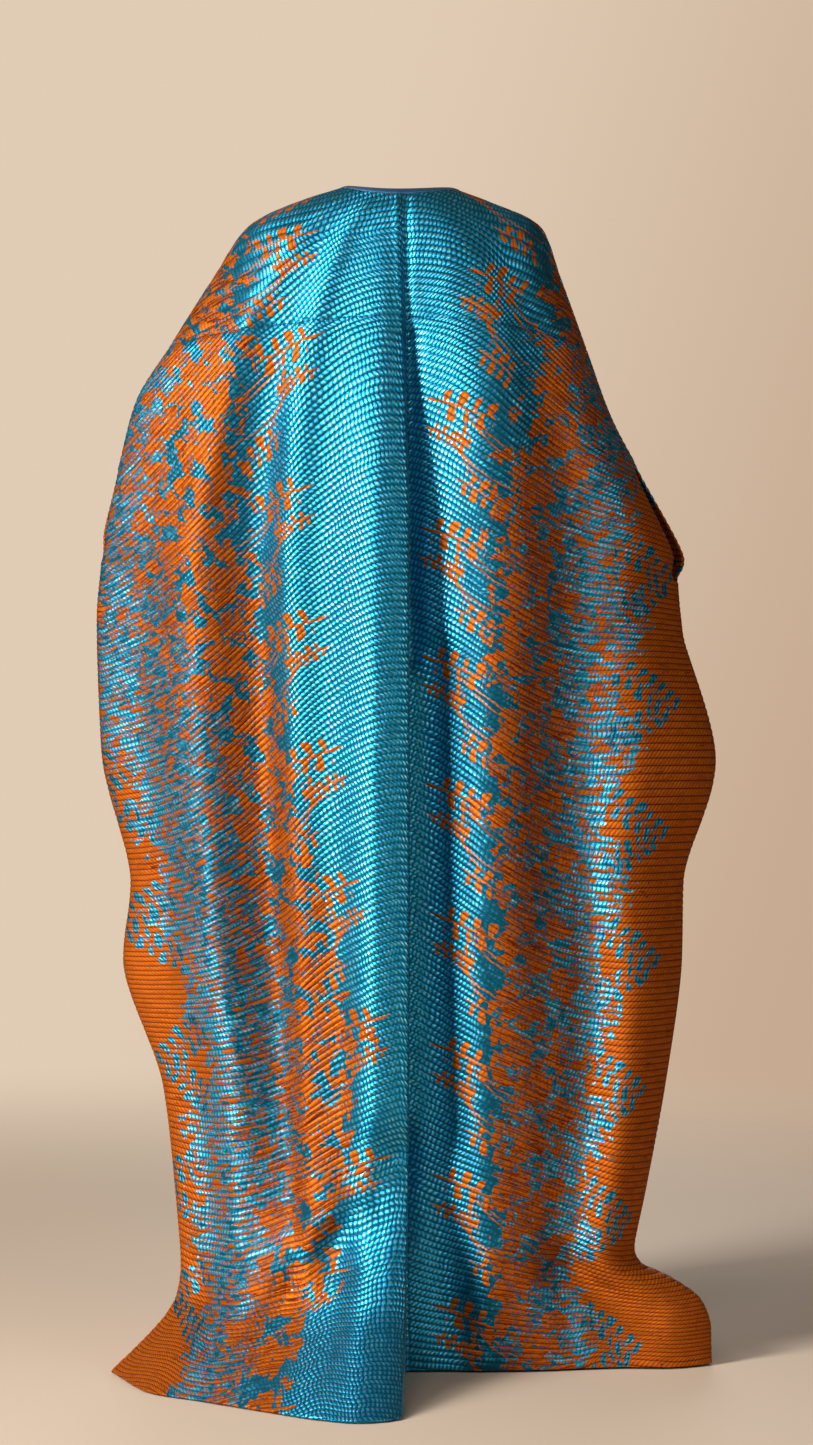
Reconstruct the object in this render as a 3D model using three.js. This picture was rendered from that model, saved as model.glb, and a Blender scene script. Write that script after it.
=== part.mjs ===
// A floor-length kaftan with sleeves cut in one with its body, held open as it is when worn.
// Millimetres, +Z up. The garment's front faces -Y and its left side is +X. The origin lies
// midway between the two points where the shoulders meet the neckline.
// Each piece that a maker cuts is one closed wall of cloth, a hair's breadth from its neighbours.
import * as THREE from 'three';

// ---------------------------------------------------------------- driving dimensions
const CLOTH_THICKNESS = 2.4;
const SEAM_GAP = 0.3;
const BINDING_WIDTH = 9;
const BINDING_PROUD = 0.5;
const CUFF_PULL = { left: 8, right: 20 };
const CUFF_BACK_DEPTH = 18;
const CUFF_FRONT_DEPTH = 46;
const MITRE_LIMIT = 3;
const CREASE_FREE_HALF = 18;
// Shares of the half width beyond which the outline's dents and the cuff's gape begin.
const DENTS_FROM = 0.35;
const GAPE_FROM = 0.75;

// Rings of the body from the neckline (row 0) down to the hem. Left and right give the height
// and the half width of the ring at each side; back and front give height and depth at its middle.
const LEVELS = table(
  ['name', 'leftZ', 'rightZ', 'leftHalf', 'rightHalf', 'backZ', 'backY', 'frontZ', 'frontY',
    'leftY', 'rightY', 'roundness', 'vee'],
  [
    ['neckline', 0, -3, 74, 74, -11, 62, -190, -112, 0, 0, 0.5, 1],
    ['collar bone', -19, -22, 135, 125, -45, 85, -215, -114, 0, 0, 0.5, 0.85],
    ['shoulder', -51, -54, 202, 190, -95, 103, -242, -119, 0, 0, 0.5, 0.5],
    ['shoulder point', -125, -125, 254, 218, -140, 118, -272, -127, 0, 0, 0.55, 0.2],
    ['yoke seam', -214, -220, 310, 252, -188, 125, -308, -136, 5, 5, 0.6, 0],
    ['elbow', -291, -310, 357, 285, -265, 132, -358, -144, 5, 5, 0.65, 0],
    ['cuff top', -380, -371, 381, 317, -345, 138, -410, -150, 0, 0, 0.7, 0],
    ['cuff middle', -472, -501, 406, 389, -440, 145, -480, -155, -10, -10, 0.75, 0],
    ['cuff end', -507, -535, 404, 376, -490, 147, -520, -158, 0, 0, 0.77, 0],
    ['hip', -585, -600, 409, 381, -575, 152, -600, -165, 10, 10, 0.8, 0],
    ['thigh', -760, -774, 402, 425, -750, 160, -765, -180, 20, 20, 0.75, 0],
    ['knee', -937, -937, 361, 380, -930, 166, -940, -195, 40, 40, 0.7, 0],
    ['below the knee', -1040, -1040, 370, 377, -1030, 170, -1040, -205, 50, 50, 0.68, 0],
    ['calf', -1208, -1208, 315, 353, -1195, 172, -1205, -220, 70, 70, 0.65, 0],
    ['low calf', -1340, -1340, 298, 327, -1330, 172, -1330, -230, 90, 85, 0.62, 0],
    ['ankle', -1440, -1420, 289, 311, -1415, 171, -1415, -240, 110, 90, 0.6, 0],
    ['spread top', -1475, -1441, 293, 320, -1455, 171, -1455, -245, 124, 92, 0.6, 0],
    ['spread', -1500, -1462, 306, 363, -1488, 170, -1488, -250, 138, 96, 0.6, 0],
    ['roll', -1525, -1490, 328, 400, -1515, 169, -1515, -254, 152, 102, 0.6, 0],
    ['roll foot', -1548, -1526, 352, 411, -1542, 168, -1542, -258, 166, 108, 0.6, 0],
    ['hem', -1569, -1569, 375, 411, -1569, 168, -1569, -262, 178, 115, 0.6, 0],
  ],
);
const YOKE_SEAM_LEVEL = 4;
const CUFF_TOP_LEVEL = 6;
const CUFF_END_LEVEL = 8;
const HEM_LEVEL = LEVELS.length - 1;
const EASED_LEVELS = [-2, -1, 0, 1, 2];

// Heights at which the fold tables give how far a fold stands out from the ring.
const FOLD_HEIGHTS = {
  neck: -15, yoke: -200, cuff: -500, thigh: -950, calf: -1290, ankle: -1460, hem: -1569,
};
// Heights at which the tables give a fold's place, as a share of the half width, left side positive.
const PLACE_HEIGHTS = { atYoke: -200, atThigh: -760, atCalf: -1210, atHem: -1569 };

const FOLD_COLUMNS = ['name', 'atYoke', 'atThigh', 'atCalf', 'atHem', 'lean',
  'neck', 'yoke', 'cuff', 'thigh', 'calf', 'ankle', 'hem'];

const BACK_FOLDS = table(FOLD_COLUMNS, [
  ['left side', 1, 1, 1, 1, 0, 0, 0, 0, 0, 0, 0, 0],
  ['left side trough', 0.87, 0.86, 0.86, 0.84, 0, 0, 0, -4, -6, -4, 22, 142],
  ['left outer ridge', 0.72, 0.68, 0.68, 0.66, 0, 0, 6, 24, 26, 18, 58, 198],
  ['left deep trough', 0.52, 0.46, 0.46, 0.46, 0, 0, -12, -22, -18, 4, 80, 262],
  ['left inner ridge', 0.39, 0.35, 0.36, 0.36, 0, 0, 6, 16, 18, 30, 105, 290],
  ['left shallow trough', 0.3, 0.25, 0.24, 0.27, 0, 0, 2, 10, 14, 36, 125, 315],
  ['lap crest', 0.08, 0.09, 0.11, 0.17, -4, 0, 7, 34, 46, 62, 150, 339],
  ['lap edge', 0.02, 0.018, 0.022, 0.04, -17, 0, 4, 28, 38, 52, 132, 306],
  ['channel', -0.035, -0.03, -0.03, -0.025, 0, 0, -10, -32, -34, -28, -14, 0],
  ['right ridge', -0.42, -0.34, -0.37, -0.4, 0, 0, 10, 22, 20, 12, 8, 2],
  ['right trough', -0.68, -0.58, -0.7, -0.7, 0, 0, -4, -10, -24, -22, -12, -8],
  ['right outer ridge', -0.86, -0.78, -0.87, -0.88, 0, 0, 0, 10, 14, 16, 14, 6],
  ['right side', -1, -1, -1, -1, 0, 0, 0, 0, 0, 0, 0, 0],
]);

const FRONT_FOLDS = table(FOLD_COLUMNS, [
  ['left side', 1, 1, 1, 1, 0, 0, 0, 0, 0, 0, 0, 0],
  ['left outer trough', 0.8, 0.8, 0.82, 0.84, 0, 0, 0, -8, -12, -10, -6, 0],
  ['left outer ridge', 0.6, 0.62, 0.63, 0.66, 0, 0, 4, 16, 20, 18, 16, 18],
  ['left inner trough', 0.4, 0.42, 0.41, 0.4, 0, 0, -4, -14, -20, -16, -10, -6],
  ['left inner ridge', 0.22, 0.2, 0.19, 0.18, 0, 0, 2, 16, 24, 22, 20, 24],
  ['middle', 0, 0, 0, 0, 0, 0, 0, -6, -10, -8, -4, 0],
  ['right inner ridge', -0.2, -0.24, -0.22, -0.2, 0, 0, 2, 14, 22, 24, 20, 20],
  ['right inner trough', -0.38, -0.44, -0.45, -0.44, 0, 0, -4, -12, -18, -18, -12, -8],
  ['right outer ridge', -0.58, -0.62, -0.66, -0.68, 0, 0, 4, 18, 22, 16, 14, 14],
  ['right outer trough', -0.8, -0.8, -0.84, -0.86, 0, 0, 0, -6, -12, -12, -8, 0],
  ['right side', -1, -1, -1, -1, 0, 0, 0, 0, 0, 0, 0, 0],
]);

// Slanting folds low on the back, each a soft ridge or trough along a line from one end to the other.
const BACK_CREASES = table(['name', 'fromX', 'fromZ', 'toX', 'toZ', 'width', 'proud'], [
  ['train ridge', 14, -1280, 236, -1506, 32, 30],
  ['train hollow', 66, -1384, 160, -1505, 46, -42],
  ['flap valley', 262, -1440, 236, -1520, 16, -16],
  ['right lobe hollow', -215, -1440, -330, -1500, 30, -20],
]);

// Rows of vertices down a panel: every ring and, where the cloth bends most, one between two rings.
const HALF_ROWS = [0.5, 1.5, 2.5, 3.5, 4.5, 5.5, 6.5, 7.5, 9.5, 10.5, 11.5, 12.5, 13.5, 14.5, 15.5];
const BACK_SEAM = -0.024;
const BACK_LEFT_COLUMNS = 27;
const BACK_RIGHT_COLUMNS = 22;
const FRONT_COLUMNS = 14;
const LAP_HALF_WIDTH = 0.07;
const LAP_CROWDING = 6;

const TURQUOISE = 0x1c93b4;
const ORANGE_MIX = 0xb7673a;
const DARK_BLUE = 0x0f4f78;

// ---------------------------------------------------------------- tables and curves
function table(columns, rows) {
  return rows.map((row) => Object.fromEntries(columns.map((column, i) => [column, row[i]])));
}

function lerp(a, b, t) {
  return a + (b - a) * t;
}

function smoothstep(t) {
  const c = Math.min(1, Math.max(0, t));
  return c * c * (3 - 2 * c);
}

// Slope at a knot of a curve that never overshoots the values on either side of it.
function knotSlope(before, after) {
  return before * after <= 0 ? 0 : (2 * before * after) / (before + after);
}

// Value at x of the smooth curve through the knots (xs rising, ys).
function smoothCurve(xs, ys, x) {
  const last = xs.length - 1;
  if (x <= xs[0]) return ys[0];
  if (x >= xs[last]) return ys[last];
  let i = 0;
  while (x > xs[i + 1]) i += 1;
  const rise = (k) => (ys[k + 1] - ys[k]) / (xs[k + 1] - xs[k]);
  const here = rise(i);
  const from = i > 0 ? knotSlope(rise(i - 1), here) : here;
  const to = i + 1 < last ? knotSlope(here, rise(i + 1)) : here;
  const span = xs[i + 1] - xs[i];
  const t = (x - xs[i]) / span;
  const t2 = t * t;
  const t3 = t2 * t;
  return (2 * t3 - 3 * t2 + 1) * ys[i] + (t3 - 2 * t2 + t) * span * from
    + (3 * t2 - 2 * t3) * ys[i + 1] + (t3 - t2) * span * to;
}

const LEVEL_NUMBERS = LEVELS.map((_, i) => i);

// The ring at a level, which may lie between two rows of the table.
function ringAt(level) {
  const ring = {};
  for (const key of Object.keys(LEVELS[0])) {
    if (key !== 'name') ring[key] = smoothCurve(LEVEL_NUMBERS, LEVELS.map((row) => row[key]), level);
  }
  return ring;
}

// A table row's value at a height, from the columns that the heights name.
function atHeight(row, heights, z) {
  const names = Object.keys(heights).reverse();
  return smoothCurve(names.map((name) => heights[name]), names.map((name) => row[name]), z);
}

// How far a sheet stands out and leans sideways at a share of the half width.
function foldAt(folds, share, z) {
  const places = folds.map((row) => atHeight(row, PLACE_HEIGHTS, z)).reverse();
  const prouds = folds.map((row) => atHeight(row, FOLD_HEIGHTS, z)).reverse();
  const leans = folds.map((row) => row.lean).reverse();
  const grown = smoothstep((FOLD_HEIGHTS.neck - z) / (FOLD_HEIGHTS.neck - FOLD_HEIGHTS.cuff));
  return {
    proud: smoothCurve(places, prouds, share),
    lean: grown * smoothCurve(places, leans, share),
  };
}

// Height of the slanting folds at a point of the back sheet: none at the lap in the middle.
function creaseAt(x, z) {
  const clearOfLap = smoothstep((Math.abs(x) - CREASE_FREE_HALF) / CREASE_FREE_HALF);
  return clearOfLap * BACK_CREASES.reduce((sum, { fromX, fromZ, toX, toZ, width, proud }) => {
    const dx = toX - fromX;
    const dz = toZ - fromZ;
    const along = ((x - fromX) * dx + (z - fromZ) * dz) / (dx * dx + dz * dz);
    const nearest = Math.min(1, Math.max(0, along));
    const away = Math.hypot(x - fromX - nearest * dx, z - fromZ - nearest * dz);
    return sum + proud * Math.exp(-((away / width) ** 2));
  }, 0);
}

// Half width of a ring on one side. Away from the sides it follows the mean of the rings above
// and below, so that a dent in the outline fades out towards the middle of the sheet.
function halfWidth(key, ring, level, share) {
  const easing = EASED_LEVELS.map((offset) => Math.min(HEM_LEVEL, Math.max(0, level + offset)));
  const eased = easing.reduce((sum, near) => sum + ringAt(near)[key], 0) / easing.length;
  const atSide = smoothstep((Math.abs(share) - DENTS_FROM) / (1 - DENTS_FROM));
  const belowYoke = smoothstep((level - YOKE_SEAM_LEVEL + 1) / 3);
  return lerp(ring[key], lerp(eased, ring[key], atSide), belowYoke);
}

// How wide the sleeve's slit gapes at a level: 0 at both of its ends.
function cuffGape(level) {
  const along = (level - CUFF_TOP_LEVEL) / (CUFF_END_LEVEL - CUFF_TOP_LEVEL);
  return along <= 0 || along >= 1 ? 0 : Math.sin(Math.PI * along) ** 0.7;
}

// Outer point of the back or front sheet. Across runs from 1 at the left side to -1 at the right.
function clothPoint(isBack, across, level) {
  const ring = ringAt(level);
  const evenness = (1 - ring.roundness) / 0.5;
  const share = across + (Math.sin((Math.PI * across) / 2) - across) * evenness;
  const leftness = (1 + share) / 2;
  const rightHalf = halfWidth('rightHalf', ring, level, share);
  const leftHalf = halfWidth('leftHalf', ring, level, share);
  const half = lerp(rightHalf, leftHalf, leftness);
  const sideZ = lerp(ring.rightZ, ring.leftZ, leftness);
  const sideY = lerp(ring.rightY, ring.leftY, leftness);
  const middleY = isBack ? ring.backY : ring.frontY;
  const middleZ = isBack ? ring.backZ : ring.frontZ;
  const bulge = Math.max(0, 1 - share * share);
  const dip = isBack ? bulge : lerp(bulge, 1 - Math.abs(share), ring.vee);
  const fold = foldAt(isBack ? BACK_FOLDS : FRONT_FOLDS, share, middleZ);
  const x = half * share;
  const z = sideZ + (middleZ - sideZ) * dip;
  const crease = isBack ? creaseAt(x, z) * bulge : 0;
  const outward = isBack ? 1 : -1;
  const y = sideY + (middleY - sideY) * bulge ** ring.roundness + outward * (fold.proud + crease);
  return openCuff(isBack, share, level, new THREE.Vector3(x + fold.lean, y, z));
}

// Parts the back and front edges of the sheets at the sleeve's slit.
function openCuff(isBack, share, level, point) {
  const gape = cuffGape(level) * smoothstep((Math.abs(share) - GAPE_FROM) / (1 - GAPE_FROM));
  if (isBack) {
    point.x -= gape * (share > 0 ? CUFF_PULL.left : -CUFF_PULL.right);
    point.y += gape * CUFF_BACK_DEPTH;
  } else {
    point.y -= gape * CUFF_FRONT_DEPTH;
  }
  return point;
}

// ---------------------------------------------------------------- walls
// Outward direction of a sheet at a point, from its neighbours along and down the cloth.
function sheetNormal(isBack, across, level) {
  const step = 0.01;
  const left = clothPoint(isBack, Math.min(1, across + step), level);
  const right = clothPoint(isBack, Math.max(-1, across - step), level);
  const above = clothPoint(isBack, across, Math.max(0, level - step));
  const below = clothPoint(isBack, across, Math.min(HEM_LEVEL, level + step));
  const normal = left.sub(right).cross(below.sub(above)).normalize();
  return isBack ? normal : normal.negate();
}

// At an edge that two sheets share, one normal serves both, lengthened so each wall keeps its thickness.
function wallNormal(isBack, across, level) {
  const own = sheetNormal(isBack, across, level);
  const atSide = Math.abs(across) === 1 && cuffGape(level) === 0;
  const atFrontSeam = !isBack && across === 0;
  if (!atSide && !atFrontSeam) return own;
  const other = atSide ? sheetNormal(!isBack, across, level) : mirrored(own);
  const shared = own.clone().add(other).normalize();
  return shared.multiplyScalar(Math.min(MITRE_LIMIT, 1 / Math.max(0.1, shared.dot(own))));
}

// At the front's middle seam the other panel's normal is taken as this one's mirror image.
function mirrored(normal) {
  return new THREE.Vector3(-normal.x, normal.y, normal.z);
}

// Rows of {outer, normal} for a panel between two levels and two places across.
function sampleSheet(isBack, acrosses, levels) {
  return levels.map((level, r) => acrosses.map((across) => {
    const atNeck = r === 0 && level === 0;
    const at = atNeck ? levelBelowNeck(isBack, across, BINDING_WIDTH + SEAM_GAP) : level;
    return { outer: clothPoint(isBack, across, at), normal: wallNormal(isBack, across, at) };
  }));
}

// The level that lies a given length of cloth below the neckline.
function levelBelowNeck(isBack, across, length) {
  if (length === 0) return 0;
  const edge = clothPoint(isBack, across, 0);
  let level = 0.1;
  for (let tries = 0; tries < 6; tries += 1) {
    level *= length / edge.distanceTo(clothPoint(isBack, across, level));
  }
  return level;
}

// Draws a grid's border inwards by half the seam gap, so neighbours stay parted.
function trimSeams(grid) {
  const lastRow = grid.length - 1;
  const lastColumn = grid[0].length - 1;
  const pull = (vertex, inner) => {
    const towards = inner.outer.clone().sub(vertex.outer).normalize();
    vertex.trim = (vertex.trim || new THREE.Vector3()).add(towards.multiplyScalar(SEAM_GAP / 2));
  };
  for (const row of grid) {
    pull(row[0], row[1]);
    pull(row[lastColumn], row[lastColumn - 1]);
  }
  for (let c = 0; c <= lastColumn; c += 1) {
    pull(grid[0][c], grid[1][c]);
    if (grid[lastRow].isSeam) pull(grid[lastRow][c], grid[lastRow - 1][c]);
  }
}

// Closed wall over a grid of outer points: outer skin, inner skin and the four edges.
function wallGeometry(grid, proud, thickness, isRing) {
  const rows = grid.length;
  const columns = grid[0].length;
  const skinAt = (offset) => grid.flat().flatMap(({ outer, normal, trim }) => {
    const point = outer.clone().addScaledVector(normal, offset);
    if (trim) point.add(trim);
    return [point.x, point.y, point.z];
  });
  const positions = [...skinAt(proud), ...skinAt(proud - thickness)];
  const inner = rows * columns;
  const at = (r, c) => r * columns + (c % columns);
  const faces = [];
  const quad = (a, b, c, d) => faces.push(a, b, c, a, c, d);
  const spans = isRing ? columns : columns - 1;
  for (let r = 0; r < rows - 1; r += 1) {
    for (let c = 0; c < spans; c += 1) {
      quad(at(r, c), at(r + 1, c), at(r + 1, c + 1), at(r, c + 1));
      quad(inner + at(r, c), inner + at(r, c + 1), inner + at(r + 1, c + 1), inner + at(r + 1, c));
    }
  }
  for (let c = 0; c < spans; c += 1) {
    quad(at(0, c), at(0, c + 1), inner + at(0, c + 1), inner + at(0, c));
    quad(at(rows - 1, c + 1), at(rows - 1, c), inner + at(rows - 1, c), inner + at(rows - 1, c + 1));
  }
  if (!isRing) {
    for (let r = 0; r < rows - 1; r += 1) {
      const end = columns - 1;
      quad(at(r + 1, 0), at(r, 0), inner + at(r, 0), inner + at(r + 1, 0));
      quad(at(r, end), at(r + 1, end), inner + at(r + 1, end), inner + at(r, end));
    }
  }
  const geometry = new THREE.BufferGeometry();
  geometry.setAttribute('position', new THREE.Float32BufferAttribute(positions, 3));
  geometry.setIndex(faces);
  geometry.computeVertexNormals();
  return geometry;
}

// ---------------------------------------------------------------- where the vertices lie
// Places across a sheet from one seam to the other, crowded together at the lap.
function spreadAcross(from, to, count, crowding) {
  const steps = 400;
  const weights = [0];
  for (let i = 0; i < steps; i += 1) {
    const across = lerp(from, to, (i + 0.5) / steps);
    weights.push(weights[i] + 1 + crowding * Math.exp(-((across / LAP_HALF_WIDTH) ** 2)));
  }
  const total = weights[steps];
  return Array.from({ length: count }, (_, k) => {
    const target = (total * k) / (count - 1);
    const i = Math.min(steps - 1, weights.findIndex((weight, n) => n < steps && weights[n + 1] >= target));
    return lerp(from, to, (i + (target - weights[i]) / (weights[i + 1] - weights[i])) / steps);
  });
}

const ALL_ROWS = [...LEVEL_NUMBERS, ...HALF_ROWS].sort((a, b) => a - b);
const YOKE_ROWS = ALL_ROWS.filter((level) => level <= YOKE_SEAM_LEVEL);
const LOWER_ROWS = ALL_ROWS.filter((level) => level >= YOKE_SEAM_LEVEL);
const BACK_LEFT = spreadAcross(1, BACK_SEAM, BACK_LEFT_COLUMNS, LAP_CROWDING);
const BACK_RIGHT = spreadAcross(BACK_SEAM, -1, BACK_RIGHT_COLUMNS, LAP_CROWDING);
const FRONT_LEFT = spreadAcross(0, 1, FRONT_COLUMNS, 0);
const FRONT_RIGHT = spreadAcross(-1, 0, FRONT_COLUMNS, 0);

// ---------------------------------------------------------------- pieces
function panel(name, color, isBack, acrosses, levels) {
  const grid = sampleSheet(isBack, acrosses, levels);
  grid[grid.length - 1].isSeam = levels[levels.length - 1] !== HEM_LEVEL;
  trimSeams(grid);
  return clothMesh(name, color, wallGeometry(grid, 0, CLOTH_THICKNESS, false));
}

function neckBinding() {
  const around = [
    ...BACK_LEFT.slice(0, -1).filter((_, i) => i % 2 === 0).map((across) => [true, across]),
    ...BACK_RIGHT.slice(0, -1).filter((_, i) => i % 2 === 0).map((across) => [true, across]),
    ...FRONT_RIGHT.slice(0, -1).map((across) => [false, across]),
    ...FRONT_LEFT.slice(0, -1).map((across) => [false, across]),
  ];
  const rowAt = (length) => around.map(([isBack, across]) => {
    const level = levelBelowNeck(isBack, across, length);
    return { outer: clothPoint(isBack, across, level), normal: wallNormal(isBack, across, level) };
  });
  const grid = [rowAt(0), rowAt(BINDING_WIDTH)];
  return clothMesh('neck_binding', DARK_BLUE,
    wallGeometry(grid, BINDING_PROUD, CLOTH_THICKNESS + 2 * BINDING_PROUD, true));
}

function clothMesh(name, color, geometry) {
  const material = new THREE.MeshStandardMaterial({
    color, roughness: 0.45, metalness: 0.25, side: THREE.DoubleSide });
  const mesh = new THREE.Mesh(geometry, material);
  mesh.name = name;
  return mesh;
}

const kaftan = new THREE.Group();
kaftan.name = 'kaftan';
kaftan.add(
  panel('back_yoke', TURQUOISE, true, [...BACK_LEFT.slice(0, -1), ...BACK_RIGHT], YOKE_ROWS),
  panel('back_left', TURQUOISE, true, BACK_LEFT, LOWER_ROWS),
  panel('back_right', TURQUOISE, true, BACK_RIGHT, LOWER_ROWS),
  panel('front_left', ORANGE_MIX, false, FRONT_LEFT, ALL_ROWS),
  panel('front_right', ORANGE_MIX, false, FRONT_RIGHT, ALL_ROWS),
  neckBinding(),
);

export default kaftan;
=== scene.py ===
"""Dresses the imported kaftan: ribbed brocade panels, the neck binding, and a plain studio around them."""
import functools
import math
from types import SimpleNamespace

import bmesh
import bpy
import numpy as np
from bpy.props import FloatProperty, FloatVectorProperty, PointerProperty
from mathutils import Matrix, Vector


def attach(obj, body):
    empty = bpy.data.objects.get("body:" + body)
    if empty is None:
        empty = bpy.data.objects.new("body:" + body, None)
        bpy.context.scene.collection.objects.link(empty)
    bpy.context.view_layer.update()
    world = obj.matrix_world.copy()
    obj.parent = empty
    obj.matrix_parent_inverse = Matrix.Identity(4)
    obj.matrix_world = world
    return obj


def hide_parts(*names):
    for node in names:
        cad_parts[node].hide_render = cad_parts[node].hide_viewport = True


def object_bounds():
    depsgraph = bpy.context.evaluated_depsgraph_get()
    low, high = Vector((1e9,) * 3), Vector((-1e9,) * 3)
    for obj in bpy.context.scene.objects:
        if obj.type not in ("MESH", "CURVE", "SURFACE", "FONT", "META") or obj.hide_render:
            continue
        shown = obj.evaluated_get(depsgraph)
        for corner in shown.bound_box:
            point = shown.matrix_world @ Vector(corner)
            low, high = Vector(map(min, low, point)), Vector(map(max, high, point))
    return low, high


bl_info = {
    "name": "Brocade Kaftan",
    "version": (1, 0, 0),
    "blender": (4, 5, 0),
    "location": "View3D > Sidebar > Kaftan",
    "description": "Builds a floor-length kaftan in ribbed floral brocade, held open as it is when worn",
    "category": "Add Mesh",
}

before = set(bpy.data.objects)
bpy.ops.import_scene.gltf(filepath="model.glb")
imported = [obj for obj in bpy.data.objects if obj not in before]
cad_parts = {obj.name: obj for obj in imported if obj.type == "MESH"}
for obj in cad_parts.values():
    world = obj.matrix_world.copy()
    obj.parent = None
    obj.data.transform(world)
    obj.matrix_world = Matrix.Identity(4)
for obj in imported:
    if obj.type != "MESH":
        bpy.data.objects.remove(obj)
CAD_BOX = [list(corner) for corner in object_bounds()]

MM = 0.001


# ---------------------------------------------------------------- tables
def columns_of(columns, rows):
    """The numbers of a table as one array for each column, without the rows' names."""
    return {column: np.array([row[i] for row in rows], float)
            for i, column in enumerate(columns) if column != "name"}


# Rings of the body from the neckline down to the hem, in millimetres. Left and right give the
# height and the half width of the ring at each side; back and front give its middle.
LEVELS = columns_of(
    ("name", "left_z", "right_z", "left_half", "right_half", "back_z", "back_y", "front_z",
     "front_y", "left_y", "right_y", "roundness", "vee"),
    (
        ("neckline", 0, -3, 74, 74, -11, 62, -190, -112, 0, 0, 0.5, 1),
        ("collar bone", -19, -22, 135, 125, -45, 85, -215, -114, 0, 0, 0.5, 0.85),
        ("shoulder", -51, -54, 202, 190, -95, 103, -242, -119, 0, 0, 0.5, 0.5),
        ("shoulder point", -125, -125, 254, 218, -140, 118, -272, -127, 0, 0, 0.55, 0.2),
        ("yoke seam", -214, -220, 310, 252, -188, 125, -308, -136, 5, 5, 0.6, 0),
        ("elbow", -291, -310, 357, 285, -265, 132, -358, -144, 5, 5, 0.65, 0),
        ("cuff top", -380, -371, 381, 317, -345, 138, -410, -150, 0, 0, 0.7, 0),
        ("cuff middle", -472, -501, 406, 389, -440, 145, -480, -155, -10, -10, 0.75, 0),
        ("cuff end", -507, -535, 404, 376, -490, 147, -520, -158, 0, 0, 0.77, 0),
        ("hip", -585, -600, 409, 381, -575, 152, -600, -165, 10, 10, 0.8, 0),
        ("thigh", -760, -774, 402, 425, -750, 160, -765, -180, 20, 20, 0.75, 0),
        ("knee", -937, -937, 361, 380, -930, 166, -940, -195, 40, 40, 0.7, 0),
        ("below the knee", -1040, -1040, 370, 377, -1030, 170, -1040, -205, 50, 50, 0.68, 0),
        ("calf", -1208, -1208, 315, 353, -1195, 172, -1205, -220, 70, 70, 0.65, 0),
        ("low calf", -1340, -1340, 298, 327, -1330, 172, -1330, -230, 90, 85, 0.62, 0),
        ("ankle", -1440, -1420, 289, 311, -1415, 171, -1415, -240, 110, 90, 0.6, 0),
        ("spread top", -1475, -1441, 293, 320, -1455, 171, -1455, -245, 124, 92, 0.6, 0),
        ("spread", -1500, -1462, 306, 363, -1488, 170, -1488, -250, 138, 96, 0.6, 0),
        ("roll", -1525, -1490, 328, 400, -1515, 169, -1515, -254, 152, 102, 0.6, 0),
        ("roll foot", -1548, -1526, 352, 411, -1542, 168, -1542, -258, 166, 108, 0.6, 0),
        ("hem", -1569, -1569, 375, 411, -1569, 168, -1569, -262, 178, 115, 0.6, 0),
    ),
)
YOKE_SEAM_LEVEL = 4
CUFF_TOP_LEVEL = 6
CUFF_END_LEVEL = 8
HEM_LEVEL = 20
EASED_LEVELS = (-2, -1, 0, 1, 2)
DENTS_FROM = 0.35
GAPE_FROM = 0.75
SLIT_BOW = 0.7
NEAR_SIDE = 0.985
CUFF_PULL = {"left": 8, "right": 20}
CUFF_BACK_DEPTH = 18
CUFF_FRONT_DEPTH = 46
CREASE_FREE_HALF = 18
BACK_SEAM = -0.024
LAP_HALF_WIDTH = 0.07
LAP_CROWDING = 5
SPREAD_STEPS = 2000
FOLDS_GROW_FROM = -15
FOLDS_GROW_RUN = 485

# Heights that the fold tables' columns stand for, lowest first.
PLACE_COLUMNS = ("at_hem", "at_calf", "at_thigh", "at_yoke")
PLACE_HEIGHTS = np.array((-1569, -1210, -760, -200), float)
PROUD_COLUMNS = ("hem", "ankle", "calf", "thigh", "cuff", "yoke", "neck")
PROUD_HEIGHTS = np.array((-1569, -1460, -1290, -950, -500, -200, -15), float)
FOLD_COLUMNS = ("name", "at_yoke", "at_thigh", "at_calf", "at_hem", "lean",
                "neck", "yoke", "cuff", "thigh", "calf", "ankle", "hem")

# Folds from the right side to the left: each one's place as a share of the half width, how far
# it leans sideways, and how far it stands out at each height.
BACK_FOLDS = columns_of(FOLD_COLUMNS, (
    ("right side", -1, -1, -1, -1, 0, 0, 0, 0, 0, 0, 0, 0),
    ("right outer ridge", -0.86, -0.78, -0.87, -0.88, 0, 0, 0, 10, 14, 16, 14, 6),
    ("right trough", -0.68, -0.58, -0.7, -0.7, 0, 0, -4, -10, -24, -22, -12, -8),
    ("right ridge", -0.42, -0.34, -0.37, -0.4, 0, 0, 10, 22, 20, 12, 8, 2),
    ("channel", -0.035, -0.03, -0.03, -0.025, 0, 0, -10, -32, -34, -28, -14, 0),
    ("lap edge", 0.02, 0.018, 0.022, 0.04, -17, 0, 4, 28, 38, 52, 132, 306),
    ("lap crest", 0.08, 0.09, 0.11, 0.17, -4, 0, 7, 34, 46, 62, 150, 339),
    ("left shallow trough", 0.3, 0.25, 0.24, 0.27, 0, 0, 2, 10, 14, 36, 125, 315),
    ("left inner ridge", 0.39, 0.35, 0.36, 0.36, 0, 0, 6, 16, 18, 30, 105, 290),
    ("left deep trough", 0.52, 0.46, 0.46, 0.46, 0, 0, -12, -22, -18, 4, 80, 262),
    ("left outer ridge", 0.72, 0.68, 0.68, 0.66, 0, 0, 6, 24, 26, 18, 58, 198),
    ("left side trough", 0.87, 0.86, 0.86, 0.84, 0, 0, 0, -4, -6, -4, 22, 142),
    ("left side", 1, 1, 1, 1, 0, 0, 0, 0, 0, 0, 0, 0),
))
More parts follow.
